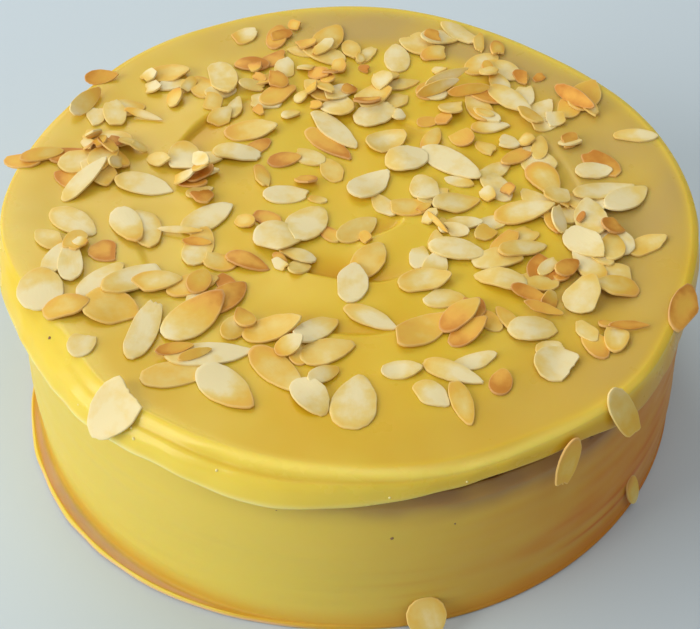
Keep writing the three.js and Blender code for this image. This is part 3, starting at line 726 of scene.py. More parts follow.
def top_section(angles):
    """Section of the custard top at each angle, from its underside round the ledge to its middle."""
    crest = crest_radius(angles)
    inner = crest - 2 * RIDGE_WIDTH
    lead = section_row(inner, top_level(inner, angles), angles)
    rim = smooth_curve(np.array([lead, *rim_controls(angles)]), RIM_STEPS)[RIM_STEPS:][::-1]
    lumps = uneven(on_plan(rim[..., 0], angles, rim[..., 1]), LEDGE_LUMPS)
    rim[..., 0] += LUMPS_OUT * lumps * ease(TOP_HEIGHT - rim[..., 1], 0, LUMPS_START)
    rim[..., 1] += LUMPS_UP * lumps * ease(rim[..., 0], crest - 1, crest + 1)
    radii = np.linspace(1, 0, TOP_RINGS)[:, None] * (crest - RIDGE_WIDTH)
    disc = np.stack([radii, top_level(radii, angles)], axis=-1)
    disc[-1, :, 1] = disc[-1, :, 1].mean()
    under = [section_row(radius, TOP_UNDERSIDE, angles) for radius in (0, FLAT_RING, TOP_SEAT)]
    return np.concatenate([under, rim, disc[1:]]).transpose(1, 0, 2)


def add_to_scene(name, data):
    """A new object in the scene that holds this data."""
    thing = bpy.data.objects.new(name, data)
    bpy.context.scene.collection.objects.link(thing)
    return thing


def new_piece(name, points, faces, material, slot, nodes=()):
    """A smooth mesh piece, given in millimetres, that rides on the cake and stands for these solids."""
    mesh = bpy.data.meshes.new(name)
    mesh.from_pydata((np.asarray(points) * MM).tolist(), [], faces)
    mesh.polygons.foreach_set("use_smooth", [True] * len(mesh.polygons))
    mesh.materials.append(material)
    piece = add_to_scene(name, mesh)
    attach(piece, "root")
    if nodes:
        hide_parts(*nodes)
    return piece


def store_floats(piece, name, values):
    """A number for each point of the mesh, for its material to read."""
    layer = piece.data.attributes.new(name, "FLOAT", "POINT")
    layer.data.foreach_set("value", np.asarray(values, dtype=np.float32).ravel())


def turned_faces(sides, points, closed):
    """Faces of a turned skin with this many sides and points in its section."""
    faces = []
    for side in range(sides):
        here, there = side * points, (side + 1) % sides * points
        for point in range(points if closed else points - 1):
            above = (point + 1) % points
            faces.append((here + point, there + point, there + above, here + above))
    return faces


def capped_skin(section, angles):
    """Points and faces of a turned skin whose section starts and ends on the axis."""
    ring = section[:, 1:-1]
    sides, count = ring.shape[:2]
    points = on_plan(ring[..., 0], angles[:, None], ring[..., 1]).reshape(-1, 3)
    faces = turned_faces(sides, count, closed=False)
    low, high = len(points), len(points) + 1
    for side in range(sides):
        after = (side + 1) % sides
        faces.append((low, after * count, side * count))
        faces.append((high, side * count + count - 1, after * count + count - 1))
    caps = [[0, 0, section[0, 0, 1]], [0, 0, section[0, -1, 1]]]
    return np.concatenate([points, caps]), faces


def shell_faces(start, rings, sides, top, bottom):
    """Faces of a closed shell: rings of points from this number on, between a top and a bottom point."""
    last = start + (rings - 1) * sides
    faces = []
    for side in range(sides):
        after = (side + 1) % sides
        faces.append((top, start + side, start + after))
        for upper in range(start, last, sides):
            lower = upper + sides
            faces.append((upper + side, lower + side, lower + after, upper + after))
        faces.append((bottom, last + after, last + side))
    return faces


def set_inputs(tree, node, inputs):
    """Set or link a node's sockets by their identifiers."""
    sockets = {socket.identifier: socket for socket in node.inputs}
    for name, value in inputs.items():
        if isinstance(value, bpy.types.NodeSocket):
            tree.links.new(value, sockets[name])
        else:
            sockets[name].default_value = value


def add_node(tree, kind, settings=None, inputs=None):
    """Add a shader node, set its fields, and set or link its sockets."""
    node = tree.nodes.new(kind)
    for name, value in (settings or {}).items():
        setattr(node, name, value)
    set_inputs(tree, node, inputs or {})
    return node


def new_material(name):
    """An empty node material, its tree and its shader node."""
    material = bpy.data.materials.new(name)
    material.use_nodes = True
    tree = material.node_tree
    tree.nodes.clear()
    shader = add_node(tree, "ShaderNodeBsdfPrincipled")
    add_node(tree, "ShaderNodeOutputMaterial", inputs={"Surface": shader.outputs["BSDF"]})
    return material, tree, shader


def per_metre(size):
    """Texture scale of a pattern that repeats in this many millimetres."""
    return 1 / (size * MM)


def layered(tree, colour, layers):
    """A colour with other colours laid over it, each by a share that the mesh holds."""
    for attribute, tint in layers:
        share = add_node(tree, "ShaderNodeAttribute", {"attribute_name": attribute}).outputs["Fac"]
        inputs = {"Factor_Float": share, "A_Color": colour, "B_Color": tint}
        colour = add_node(tree, "ShaderNodeMix", {"data_type": "RGBA"}, inputs).outputs[2]
    return colour


def custard_finish(tree, shader, place, colour, roughness, sheen):
    """Set custard: satin, a little translucent, with faint ripples that break up its sheen."""
    ripples = add_node(tree, "ShaderNodeTexNoise", inputs={
        "Vector": place, "Scale": per_metre(CUSTARD_RIPPLE), "Detail": 3,
    }).outputs["Fac"]
    bump = add_node(tree, "ShaderNodeBump", inputs={
        "Height": ripples, "Strength": 0.12, "Distance": 0.6 * MM,
    })
    gloss = add_node(tree, "ShaderNodeMapRange", inputs={
        "Value": ripples, "From Min": 0.3, "From Max": 0.7,
        "To Min": roughness - 0.05, "To Max": roughness + 0.07,
    })
    rim = add_node(tree, "ShaderNodeAttribute", {"attribute_name": "rim"})
    wet = add_node(tree, "ShaderNodeMath", {"operation": "MULTIPLY_ADD"}, {
        "Value": rim.outputs["Fac"], "Value_001": -0.13, "Value_002": gloss.outputs["Result"],
    })
    set_inputs(tree, shader, {
        "Base Color": colour, "Normal": bump.outputs["Normal"], "Roughness": wet.outputs["Value"],
        "IOR": 1.4, "Specular IOR Level": sheen, "Subsurface Weight": 0.45,
        "Subsurface Radius": (1, 0.55, 0.15), "Subsurface Scale": 4 * MM,
    })


def custard_top_material(colours):
    """Egg custard spread by a palette knife: yellow where thick, tan where the sponge shows through, with
    painted shade in its troughs and on the ledge's face, painted sheen on the rim, and painted highlights
    along the crest and the lip.
    """
    material, tree, shader = new_material("Egg custard spread by palette knife")
    place = add_node(tree, "ShaderNodeTexCoord").outputs["Object"]
    clouds = add_node(tree, "ShaderNodeTexNoise", inputs={
        "Vector": place, "Scale": per_metre(CUSTARD_CLOUD), "Detail": 2,
    })
    share = add_node(tree, "ShaderNodeMapRange", inputs={
        "Value": clouds.outputs["Fac"], "From Min": 0.35, "From Max": 0.7,
    })
    thick = add_node(tree, "ShaderNodeMix", {"data_type": "RGBA"}, {
        "Factor_Float": share.outputs["Result"],
        "A_Color": colours.custard, "B_Color": colours.custard_light,
    })
    colour = layered(tree, thick.outputs[2], [
        ("deep", colours.custard_deep_and_shade), ("thin", colours.custard_thin), ("rim", colours.custard_rim_and_sheen),
        ("crest", colours.custard_crest_highlight), ("lip", colours.custard_lip_highlight),
    ])
    custard_finish(tree, shader, place, colour, roughness=0.32, sheen=0.4)
    return material


def custard_side_material(colours):
    """Egg custard dragged round the side: streaked where it was taken thin, orange where it gathered, with
    painted shadow below the ledge and painted warm shade at the right.
    """
    material, tree, shader = new_material("Egg custard dragged round the side")
    place = add_node(tree, "ShaderNodeTexCoord").outputs["Object"]
    colour = layered(tree, colours.custard_side, [
        ("foot", colours.custard_foot), ("film", colours.custard_film),
        ("thin", colours.custard_drawn_and_shade), ("bare", colours.sponge),
    ])
    custard_finish(tree, shader, place, colour, roughness=0.44, sheen=0.3)
    return material


def sponge_material(colours):
    """Baked sponge: matt, open crumb with painted shade in its pores."""
    material, tree, shader = new_material("Baked sponge crumb")
    place = add_node(tree, "ShaderNodeTexCoord").outputs["Object"]
    pores = add_node(tree, "ShaderNodeTexVoronoi", inputs={"Vector": place, "Scale": per_metre(SPONGE_PORE)})
    crumb = add_node(tree, "ShaderNodeTexNoise", inputs={
        "Vector": place, "Scale": per_metre(SPONGE_GRAIN), "Detail": 5,
    })
    rise = add_node(tree, "ShaderNodeMapRange", inputs={
        "Value": pores.outputs["Distance"], "From Min": 0.1, "From Max": 0.4,
    })
    colour = add_node(tree, "ShaderNodeMix", {"data_type": "RGBA"}, {
        "Factor_Float": rise.outputs["Result"], "A_Color": colours.sponge_pore_shade, "B_Color": colours.sponge,
    })
    bump = add_node(tree, "ShaderNodeBump", inputs={
        "Height": crumb.outputs["Fac"], "Strength": 0.8, "Distance": 1.2 * MM,
    })
    set_inputs(tree, shader, {
        "Base Color": colour.outputs[2], "Normal": bump.outputs["Normal"], "Roughness": 0.9,
    })
    return material


def almond_shades(tree, colours, toast, place):
    """An almond's colour from blanched to scorched, by its toast and in browned patches."""
    patches = add_node(tree, "ShaderNodeTexNoise", inputs={
        "Vector": place, "Scale": 1 / ALMOND_PATCH, "Detail": 3,
    })
    browning = add_node(tree, "ShaderNodeMath", {"operation": "MULTIPLY_ADD"}, {
        "Value": patches.outputs["Fac"], "Value_001": PATCH_STRENGTH, "Value_002": toast,
    })
    shades = add_node(tree, "ShaderNodeValToRGB", inputs={"Fac": browning.outputs["Value"]})
    for position in (0.25, 0.5, 0.75):
        shades.color_ramp.elements.new(position)
    steps = ("almond", "almond_cream", "almond_golden", "almond_toasted", "almond_scorched")
    for element, step in zip(shades.color_ramp.elements, steps):
        element.color = getattr(colours, step)
    return shades.outputs["Color"]


def almond_material(colours):
    """Sliced almonds from the oven: dry flesh with a fine grain, browned in patches, and a pale cut edge."""
    material, tree, shader = new_material("Toasted almond slice")
    depth, toast = (
        add_node(tree, "ShaderNodeAttribute", {"attribute_name": name}).outputs["Fac"]
        for name in ("depth", "toast")
    )
    place = add_node(tree, "ShaderNodeUVMap", {"uv_map": "slice"}).outputs["UV"]
    rim = add_node(tree, "ShaderNodeMapRange", inputs={
        "Value": depth, "From Min": 0, "From Max": 0.1, "To Min": 0.3, "To Max": 0,
    })
    colour = add_node(tree, "ShaderNodeMix", {"data_type": "RGBA"}, {
        "Factor_Float": rim.outputs["Result"], "A_Color": almond_shades(tree, colours, toast, place),
        "B_Color": colours.almond_edge,
    })
    stretch = add_node(tree, "ShaderNodeMapping", inputs={"Vector": place, "Scale": (0.25, 1, 1)})
    grain = add_node(tree, "ShaderNodeTexNoise", inputs={
        "Vector": stretch.outputs["Vector"], "Scale": 1 / ALMOND_GRAIN, "Detail": 4,
    })
    bump = add_node(tree, "ShaderNodeBump", inputs={
        "Height": grain.outputs["Fac"], "Strength": 0.2, "Distance": 0.25 * MM,
    })
    set_inputs(tree, shader, {
        "Base Color": colour.outputs[2], "Normal": bump.outputs["Normal"], "Roughness": 0.55,
        "IOR": 1.47, "Specular IOR Level": 0.3, "Subsurface Weight": 0.15,
        "Subsurface Radius": (1, 0.7, 0.4), "Subsurface Scale": 1.2 * MM,
    })
    return material


def bubble_material(colours):
    """A film of custard over air: wet, and pale in the colour of the lip's painted highlight."""
    material, tree, shader = new_material("Egg custard bubble")
    set_inputs(tree, shader, {"Base Color": colours.custard_lip_highlight, "Roughness": 0.12, "IOR": 1.4})
    return material


def floor_material(stage):
    """A plain pale floor: matt, so that it takes a soft shadow and no reflection."""
    material, tree, shader = new_material("Pale matt floor")
    set_inputs(tree, shader, {"Base Color": stage.floor, "Roughness": 0.9, "Specular IOR Level": 0.1})
    return material


class CAKE_OT_sponge(bpy.types.Operator):
    """Make the baked sponge, with a crumb that shows below the ledge"""

    bl_idname = "cake.sponge"
    bl_label = "Sponge"

    def execute(self, context):
        angles = full_turn(SPONGE_SIDES)
        foot = [(0, 0), (FLAT_RING, 0), (SPONGE_RADIUS - SPONGE_EDGE, 0)]
        heights = np.linspace(SPONGE_EDGE, SPONGE_HEIGHT - SPONGE_EDGE, SPONGE_ROWS)
        outline = foot + [(SPONGE_RADIUS, height) for height in heights]
        outline += [(radius, SPONGE_HEIGHT) for radius, _ in reversed(foot)]
        section = np.tile(np.array(outline, dtype=float), (len(angles), 1, 1))
        wall = section[:, len(foot):-len(foot)]
        crumb = uneven(on_plan(wall[..., 0], angles[:, None], wall[..., 1]), SPONGE_CRUMB)
        wall[..., 0] += CRUMB_RELIEF * np.clip(crumb, *CRUMB_RANGE) - CRUMB_INSET
        points, faces = capped_skin(section, angles)
        material = sponge_material(context.scene.cake_colours)
        new_piece("baked_sponge", points, faces, material, "sponge", ["sponge_cake"])
        return {"FINISHED"}


def shade_side(piece, section, angles, top, patchy, streak):
    """Store where the coat shows the sponge and painted shadow below the ledge, where it is thin and in
    painted warm shade at the right, where custard gathered at the foot, and where it spreads as a film, for
    its material to read.
    """
    height = section[..., 1]
    past_foot = section[..., 0] - coat_radius(angles, 0)[:, None]
    around = angles[:, None]
    # Sponge shows through below the ledge, and the band darkens there as painted shadow under the ledge.
    bare = hump(around, *BARE_AND_SHADOW_BAND) * (1 - ease(top[:, None] - height, *BARE_FADE))
    store_floats(piece, "bare", np.clip(bare * between(BARE_SHARES, ease(patchy, 0, 1)), 0, 1))
    streaks = STREAK_SHARE * hump(around, *STREAKED_SIDE) * ease(streak, *STREAK_RANGE)
    streaks = streaks * ease(height, *STREAK_RISE) * (1 - ease(height, *STREAK_FADE))
    off_sweep = (height - SWEEP_HEIGHT - SWEEP_SLOPE * np.cos(around)) / SWEEP_WIDTH
    sweep = SWEEP_SHARE * hump(around, *SWEPT_SIDE) * np.exp(-off_sweep ** 2)
    # At the right the coat is thin and orange, partly as painted warm shade.
    thin = hump(around, *THIN_AND_SHADED_SIDE) * (THIN_EVEN + THIN_BY_PATCH * patchy + THIN_BY_STREAK * streak)
    store_floats(piece, "thin", np.clip(streaks + sweep + thin, 0, 1))
    gathered = between(FOOT_SHARES, hump(around, *FULL_FOOT)) * (1 - ease(height, *FOOT_FADE))
    store_floats(piece, "foot", gathered * (1 - ease(past_foot, *FOOT_END)))
    store_floats(piece, "film", ease(past_foot, *FILM_START) * (1 - ease(height, *FILM_FADE)))


class CAKE_OT_custard_side(bpy.types.Operator):
    """Make the custard coat on the side, with its film and bead at the foot"""

    bl_idname = "cake.custard_side"
    bl_label = "Custard Side"

    def execute(self, context):
        angles = full_turn(CUSTARD_SIDES)
        top = coat_top(angles)
        front = coat_front(angles, top)
        back = [section_row(COAT_INSIDE, height, angles) for height in (top - COAT_BACK_DROP, FIT_GAP)]
        section = np.concatenate([front, back]).transpose(1, 0, 2)
        places = on_plan(section[..., 0], angles[:, None], section[..., 1])
        streak = stretched(places, *STREAKS)
        patchy = 0.5 + 0.5 * stretched(places, *COAT_PATCHES)
        relief = STREAK_RELIEF * streak * ease(section[..., 1], *RELIEF_RISE)
        section[:, :len(front), 0] += relief[:, :len(front)]
        points = on_plan(section[..., 0], angles[:, None], section[..., 1]).reshape(-1, 3)
        faces = turned_faces(*section.shape[:2], closed=True)
        material = custard_side_material(context.scene.cake_colours)
        piece = new_piece("custard_side", points, faces, material, "custard_side", ["custard_coat"])
        shade_side(piece, section, angles, top, patchy, streak)
        return {"FINISHED"}


def patch_shares(radius, angle, patches):
    """How much of the patches shows at places on the top."""
    return sum(
        share * hump(angle, bearing, half) * ease(radius, inner, inner + PATCH_FADE)
        for bearing, half, inner, share in patches
    )


def shade_top(piece, points):
    """Store where the top is thin, where it is golden and where it lies in painted shade, where it is lemon
    yellow with painted sheen, and where painted highlights lie along the crest and the lip, for its material
    to read.
    """
    height = points[:, 2]
    radius = np.hypot(points[:, 0], points[:, 1])
    angle = np.arctan2(points[:, 1], points[:, 0])
    past_crest = radius - crest_radius(angle)
    on_top = 1 - ease(past_crest, *TOP_END)
    patchy = 1 + uneven(points, TOP_PATCHES)
    thin = patch_shares(radius, angle, TAN_PATCHES)
    store_floats(piece, "thin", np.clip(thin * patchy, 0, 1) * on_top)
    share_out = past_crest / (lip_radius(angle) - crest_radius(angle))
    # Painted shade: the knife troughs, the groove below the crest and the ledge's face.
    fold = hump(angle, *FOLD) * np.exp(-((share_out - FOLD_PLACE) / FOLD_WIDTH) ** 2)
    golden = patch_shares(radius, angle, GOLDEN_PATCHES) * patchy * on_top
    face = hump(angle, *SHADED_FACE) * ease(past_crest, *FACE_START)
    deep = TROUGH_SHADE * knife_work(radius, angle)[1] + golden + face + FOLD_GROOVE_SHADE * fold
    store_floats(piece, "deep", np.clip(deep, 0, 1))
    # Lemon yellow over the edge, made paler as painted sheen.
    over_edge = ease(past_crest, -RIM_REACH - swell(angle, RIM_REACHES), 1) * (1 - FOLD_SHADE * fold)
    store_floats(piece, "rim", over_edge * (RIM_TINT + swell(angle, RIM_TINTS_AND_SHEEN)))
    # Painted highlight: a pale band along the crest.
    crest_level = TOP_HEIGHT + CREST_RISE - ROLL_AT_CREST * hump(angle, *ROLL)
    off_crest = np.hypot(past_crest + CREST_BACK, height - crest_level) / CREST_WIDTH
    crest_highlight = np.minimum(1, CREST_HIGHLIGHT_SHARE * hump(angle, *CREST_HIGHLIGHT))
    store_floats(piece, "crest", np.exp(-off_crest ** 2) * crest_highlight)
    # Painted highlight: the ledge's thin lower edge catches the light.
    edge = ease(past_crest, *LIP_START) * (1 - ease(height - lip_height(angle), *LIP_FADE))
    store_floats(piece, "lip", edge * between(LIP_SHARES, hump(angle, *LIP_HIGHLIGHT)))


class CAKE_OT_custard_top(bpy.types.Operator):
    """Make the custard top with its knife marks and its hanging ledge"""

    bl_idname = "cake.custard_top"
    bl_label = "Custard Top"

    def execute(self, context):
        angles = full_turn(CUSTARD_SIDES)
        points, faces = capped_skin(top_section(angles), angles)
        material = custard_top_material(context.scene.cake_colours)
        piece = new_piece("custard_spread", points, faces, material, "custard_top", ["custard_top"])
        shade_top(piece, points)
        return {"FINISHED"}


def table_flakes(rows, names, **common):
    """Flakes from a table with these columns: whole, flat and a little chipped unless it says otherwise."""
    usual = {"cut": 1, "tilt": 0, "chips": FLAKE_CHIPS, **common}
    return [{**usual, **dict(zip(names, row))} for row in rows]


def scattered_flakes():
    """The flakes of every pinch, dropped round its middle and apart from one another."""
    draws = number_stream(SCATTER_SEED)
    tones = np.random.default_rng(SCATTER_SEED)
    taken = [(row[0], row[1]) for row in LARGE_FLAKES]
    rows = []
    for middle_x, middle_y, spread, count, toasted in PINCHES:
        reach = PINCH_REACH * spread
        for _ in range(count):
            for _ in range(DROP_TRIES):
                x = middle_x + reach * (next(draws) + next(draws) - 1)
                y = middle_y + reach * (next(draws) + next(draws) - 1)
                apart = all(math.hypot(x - other[0], y - other[1]) > FLAKE_SPACING for other in taken)
                if apart and math.hypot(x, y) < FLAKE_FIELD:
                    break
            taken.append((x, y))
            length = SHORTEST_FLAKE + LENGTH_RANGE * next(draws)
            width = length * (NARROWEST_FLAKE + WIDTH_RANGE * next(draws))
            turn = 180 * next(draws)
            broken = next(draws)
            cut = LEAST_BREAK + BREAK_SPEED * broken if broken < BROKEN_SHARE else 1
            tone = tones.random()
            toast = between(TOASTED_RANGE if tones.random() < toasted else PALE_RANGE, tone)
            rows.append((x, y, length, width, turn, toast, cut))
    return table_flakes(rows, (*LYING, "cut"))


def fragments(flakes, count):
    """Small broken bits of almond that fell beside the flakes, the further back of two each time."""
    draw = np.random.default_rng(BIT_SEED)
    rows = []
    for _ in range(count):
        pair = [flakes[number] for number in draw.integers(len(flakes), size=2)]
        host = max(pair, key=lambda flake: flake["y"])
        bearing, away = draw.uniform(0, 2 * np.pi), draw.uniform(*BIT_DISTANCES)
        x, y = host["x"] + away * math.cos(bearing), host["y"] + away * math.sin(bearing)
        length = draw.uniform(*BIT_LENGTHS)
        clear = all(math.hypot(x - row[0], y - row[1]) > row[2] / 2 for row in LARGE_FLAKES)
        if clear and y > FRONT_LIMIT and math.hypot(x, y) < FLAKE_FIELD:
            width, turn = length * draw.uniform(*BIT_WIDTHS), draw.uniform(0, 360)
            cut, toast = draw.uniform(*BIT_BREAKS), draw.uniform(0, 1) ** BIT_PALENESS
            rows.append((x, y, length, width, turn, toast, cut, draw.uniform(*BIT_TILTS)))
    return table_flakes(rows, (*LYING, "cut", "tilt"), chips=BIT_CHIPS)


def ground_cells(x, y):
    """Cells of the grid of heights at places on the plan."""
    last = len(GROUND_PLACES) - 1
    steps = [np.rint((place + GROUND_REACH) / GROUND_PITCH).astype(int) for place in (x, y)]
    return tuple(np.clip(step, 0, last) for step in steps)


def resting_line(places, heights):
    """Height at 0 and slope of the line that a stiff strip takes when it rests on these heights."""
    left, right = np.meshgrid(np.flatnonzero(places < 0), np.flatnonzero(places > 0), indexing="ij")
    slopes = (heights[right] - heights[left]) / (places[right] - places[left])
    levels = heights[left] - slopes * places[left]
    best = np.unravel_index(np.argmax(levels), levels.shape)
    return levels[best], slopes[best]


def lying_axes(along, aside, slope, side_slope, tilt):
    """Axes of a flake that lies with these slopes along and across it, tilted about its length."""
    ahead = np.array([*along, slope])
    ahead /= np.linalg.norm(ahead)
    up = np.cross(ahead, [*aside, side_slope])
    up /= np.linalg.norm(up)
    side = np.cross(up, ahead)
    tilted_side = side * math.cos(tilt) + up * math.sin(tilt)
    tilted_up = up * math.cos(tilt) - side * math.sin(tilt)
    return np.array([ahead, tilted_side, tilted_up])


def settle(flake, ground, thickness):
    """Lay a flake on the ground, resting on what is highest under it, and add it to the ground."""
    x, y, length, width, cut = (flake[name] for name in ("x", "y", "length", "width", "cut"))
    turn, tilt = math.radians(flake["turn"]), math.radians(flake["tilt"])
    along = np.array([math.cos(turn), math.sin(turn)])
    aside = np.array([-math.sin(turn), math.cos(turn)])
    forward, across = RESTING_LENGTH * length, RESTING_WIDTH * width
    ahead, beside = np.meshgrid(forward, across, indexing="ij")
    inside = (2 * ahead / length) ** 2 + (2 * beside / width) ** 2 < 1
    inside &= ahead * np.sign(cut) < abs(cut) * length / 2
    cells = ground_cells(
        x + ahead * along[0] + beside * aside[0], y + ahead * along[1] + beside * aside[1]
    )
    heights = np.where(inside, ground[cells], NO_GROUND)
    level, slope = resting_line(forward, heights.max(axis=1))
    left_over = np.where(inside, heights - level - slope * ahead, NO_GROUND)
    lift, side_slope = resting_line(across, left_over.max(axis=0))
    slope, side_slope = np.clip((slope, side_slope), -STEEPEST, STEEPEST)
    plane = level + lift + slope * ahead + side_slope * beside - FLAKE_SINK
    np.maximum.at(ground, cells, np.where(inside, plane + thickness, NO_GROUND))
    raised_by = TILT_LIFT * width * abs(math.sin(tilt)) - FLAKE_SINK
    flake["axes"] = lying_axes(along, aside, slope, side_slope, tilt)
    flake["origin"] = np.array([x, y, level + lift + raised_by])


def stand(flake, surface, thickness):
    """Stand a flake against the side, whose radius there is given, with its point down and leaning out."""
    matrix = Matrix.Rotation(math.radians(flake["bearing"]), 4, "Z")
    matrix @= Matrix.Translation((surface + flake["past"], 0, flake["upper"]))
    matrix @= Matrix.Rotation(math.radians(90 - flake["lean"]), 4, "Y")
    matrix @= Matrix.Rotation(math.radians(flake["turn"]), 4, "Z")
    matrix @= Matrix.Translation((flake["length"] / 2, 0, -thickness / 2))
    flake["axes"] = np.array(matrix.to_3x3()).T
    flake["origin"] = np.array(matrix.translation)


def chipped(outline, bearing, limit):
    """An outline whose points past a straight line are drawn in to that line."""
    reach = outline @ np.array([math.cos(bearing), math.sin(bearing)])
    return outline * np.where(reach > limit, limit / np.maximum(reach, LEAST_REACH), 1)[:, None]


def flake_outline(flake, draw):
    """An almond slice's outline: an egg drawn to a point, with straight chips, and rough at a break."""
    turn = full_turn(FLAKE_SIDES)
    point, lobe = draw.uniform(*POINTEDNESS), draw.uniform(*FULLNESS)
    along = np.cos(turn)
    across = np.sin(turn) * (1 - lobe * along) * (1 - point * np.maximum(0, along) ** 2)
    rough = 1 + OUTLINE_ROUGHNESS * draw.normal(size=(FLAKE_SIDES, 1))
    outline = np.stack([along, across], axis=-1) * rough
    for bearing in draw.uniform(0, 2 * np.pi, draw.integers(0, flake["chips"] + 1)):
        outline = chipped(outline, bearing, draw.uniform(*CHIP_LIMITS))
    if flake["cut"] < 1:
        bearing = draw.uniform(*BREAK_SLANTS) + (math.pi if flake["cut"] < 0 else 0)
        bend = draw.uniform(*BREAK_BENDS) * outline[:, 1] ** 2
        limit = abs(flake["cut"]) + bend + BREAK_ROUGHNESS * draw.normal(size=FLAKE_SIDES)
        outline = chipped(outline, bearing, limit)
    return outline * np.array([flake["length"] / 2, flake["width"] / 2])


def flake_points(flake, thickness, draw):
    """Points of one flake, and at each its nearness to the middle, toast, and place in the patterns."""
    outline = flake_outline(flake, draw)
    middle = outline.mean(axis=0)
    rings = [(0, 1), *FLAKE_RINGS, (0, -1)]
    flat = np.concatenate([
        [middle] if share == 0 else middle + share * (outline - middle) for share, _ in rings
    ])
    counts = [1 if share == 0 else FLAKE_SIDES for share, _ in rings]
    high = np.repeat([height for _, height in rings], counts)
    depth = np.repeat([1 - share for share, _ in rings], counts)
    along, across = 2 * flat[:, 0] / flake["length"], 2 * flat[:, 1] / flake["width"]
    curl, cup, twist = np.clip(draw.normal(size=3), -MOST_WARP, MOST_WARP) * FLAKE_WARP * flake["width"]
    bend = curl * along ** 2 + cup * across ** 2 + twist * along * across
    wave = WAVINESS * flake["width"] * np.clip(draw.normal(), -MOST_WAVINESS, MOST_WAVINESS)
    bend += wave * np.sin(WAVE_COUNT * along + draw.uniform(*WAVE_SHIFTS))
    bend -= bend.min()
    local = np.column_stack([flat, thickness * (0.5 + 0.5 * high) + bend])
    points = flake["origin"] + local @ flake["axes"]
    end, edge = BROWNING_MEANS + draw.normal(size=2) * BROWNING_SPREADS
    toast = EVEN_TOAST * flake["toast"] - 0.5 * PATCH_STRENGTH + end * along + edge * (1 - depth) ** 2
    return points, depth, toast, flat + draw.uniform(0, PATTERN_ROOM, 2)


def flake_piece(name, flakes, thickness, material, slot, node, seed):
    """One mesh of all the flakes of a kind."""
    draw = np.random.default_rng(seed)
    made = [flake_points(flake, thickness, draw) for flake in flakes]
    points, depth, toast, places = (np.concatenate(group) for group in zip(*made))
    rings = len(FLAKE_RINGS)
    size = rings * FLAKE_SIDES + 2
    faces = []
    for start in range(0, len(points), size):
        faces += shell_faces(start + 1, rings, FLAKE_SIDES, start, start + size - 1)
    piece = new_piece(name, points, faces, material, slot, [node])
    store_floats(piece, "depth", depth)
    store_floats(piece, "toast", toast)
    mesh = piece.data
    mesh.set_sharp_from_angle(angle=FLAKE_CREASE)
    corners = np.zeros(len(mesh.loops), dtype=np.int32)
    mesh.loops.foreach_get("vertex_index", corners)
    layer = mesh.uv_layers.new(name="slice")
    layer.data.foreach_set("uv", places[corners].astype(np.float32).ravel())


class CAKE_OT_almond_flakes(bpy.types.Operator):
    """Scatter the toasted almond flakes, one piece for each kind"""

    bl_idname = "cake.almond_flakes"
    bl_label = "Almond Flakes"

    def execute(self, context):
        sizes = context.scene.cake_sizes
        thickness = sizes.flake_thickness / MM
        large = table_flakes(LARGE_FLAKES, (*LYING, "cut"))
        small = scattered_flakes()
        bits = fragments(small + large, sizes.fragments)
        bits += table_flakes(SLIVERS, (*LYING, "tilt"), chips=SLIVER_CHIPS)
        ground = surface_height(*np.meshgrid(GROUND_PLACES, GROUND_PLACES, indexing="ij"))
        for flake in small + large + bits:
            settle(flake, ground, thickness)
        hanging = table_flakes(HANGING_FLAKES, STANDING, cut=HANGING_BREAK, chips=0)
        for flake in hanging:
            stand(flake, lip_radius(math.radians(flake["bearing"])), thickness)
        at_foot = table_flakes(FOOT_FLAKES, STANDING, chips=0)
        for flake in at_foot:
            stand(flake, coat_radius(math.radians(flake["bearing"]), flake["upper"]), thickness)
        material = almond_material(context.scene.cake_colours)
        groups = [
            ("large", large, "custard_top", "custard_top"), ("small", small, "custard_top", "custard_top"),
            ("broken", bits, "custard_top", "custard_top"), ("ledge", hanging, "custard_top", "custard_top"),
            ("foot", at_foot, "custard_side", "custard_coat"),
        ]
        for seed, (kind, flakes, slot, node) in enumerate(groups, start=FLAKE_SEED):
            flake_piece(f"almond_flakes_{kind}", flakes, thickness, material, slot, node, seed)
        return {"FINISHED"}


def small_ball(centre, radius, roughness, draw):
    """Points of a small uneven ball: its rings from the top down, then its top and bottom."""
    tilt = np.linspace(0, np.pi, BALL_ROWS + 1)[1:-1, None]
    rings = on_plan(np.sin(tilt), full_turn(BALL_COLUMNS), np.cos(tilt)).reshape(-1, 3)
    ball = np.concatenate([rings, [[0, 0, 1], [0, 0, -1]]])
    return ball * (1 + draw.normal(size=(len(ball), 1)) * roughness) * radius + centre


def ball_piece(name, centres, radii, roughness, material, slot, seed):
    """One mesh of many small balls."""
    draw = np.random.default_rng(seed)
    balls = [small_ball(centre, radius, roughness, draw) for centre, radius in zip(centres, radii)]
    size = len(balls[0])
    faces = []
    for start in range(0, size * len(balls), size):
        faces += shell_faces(start, BALL_ROWS - 1, BALL_COLUMNS, start + size - 2, start + size - 1)
    new_piece(name, np.concatenate(balls), faces, material, slot)


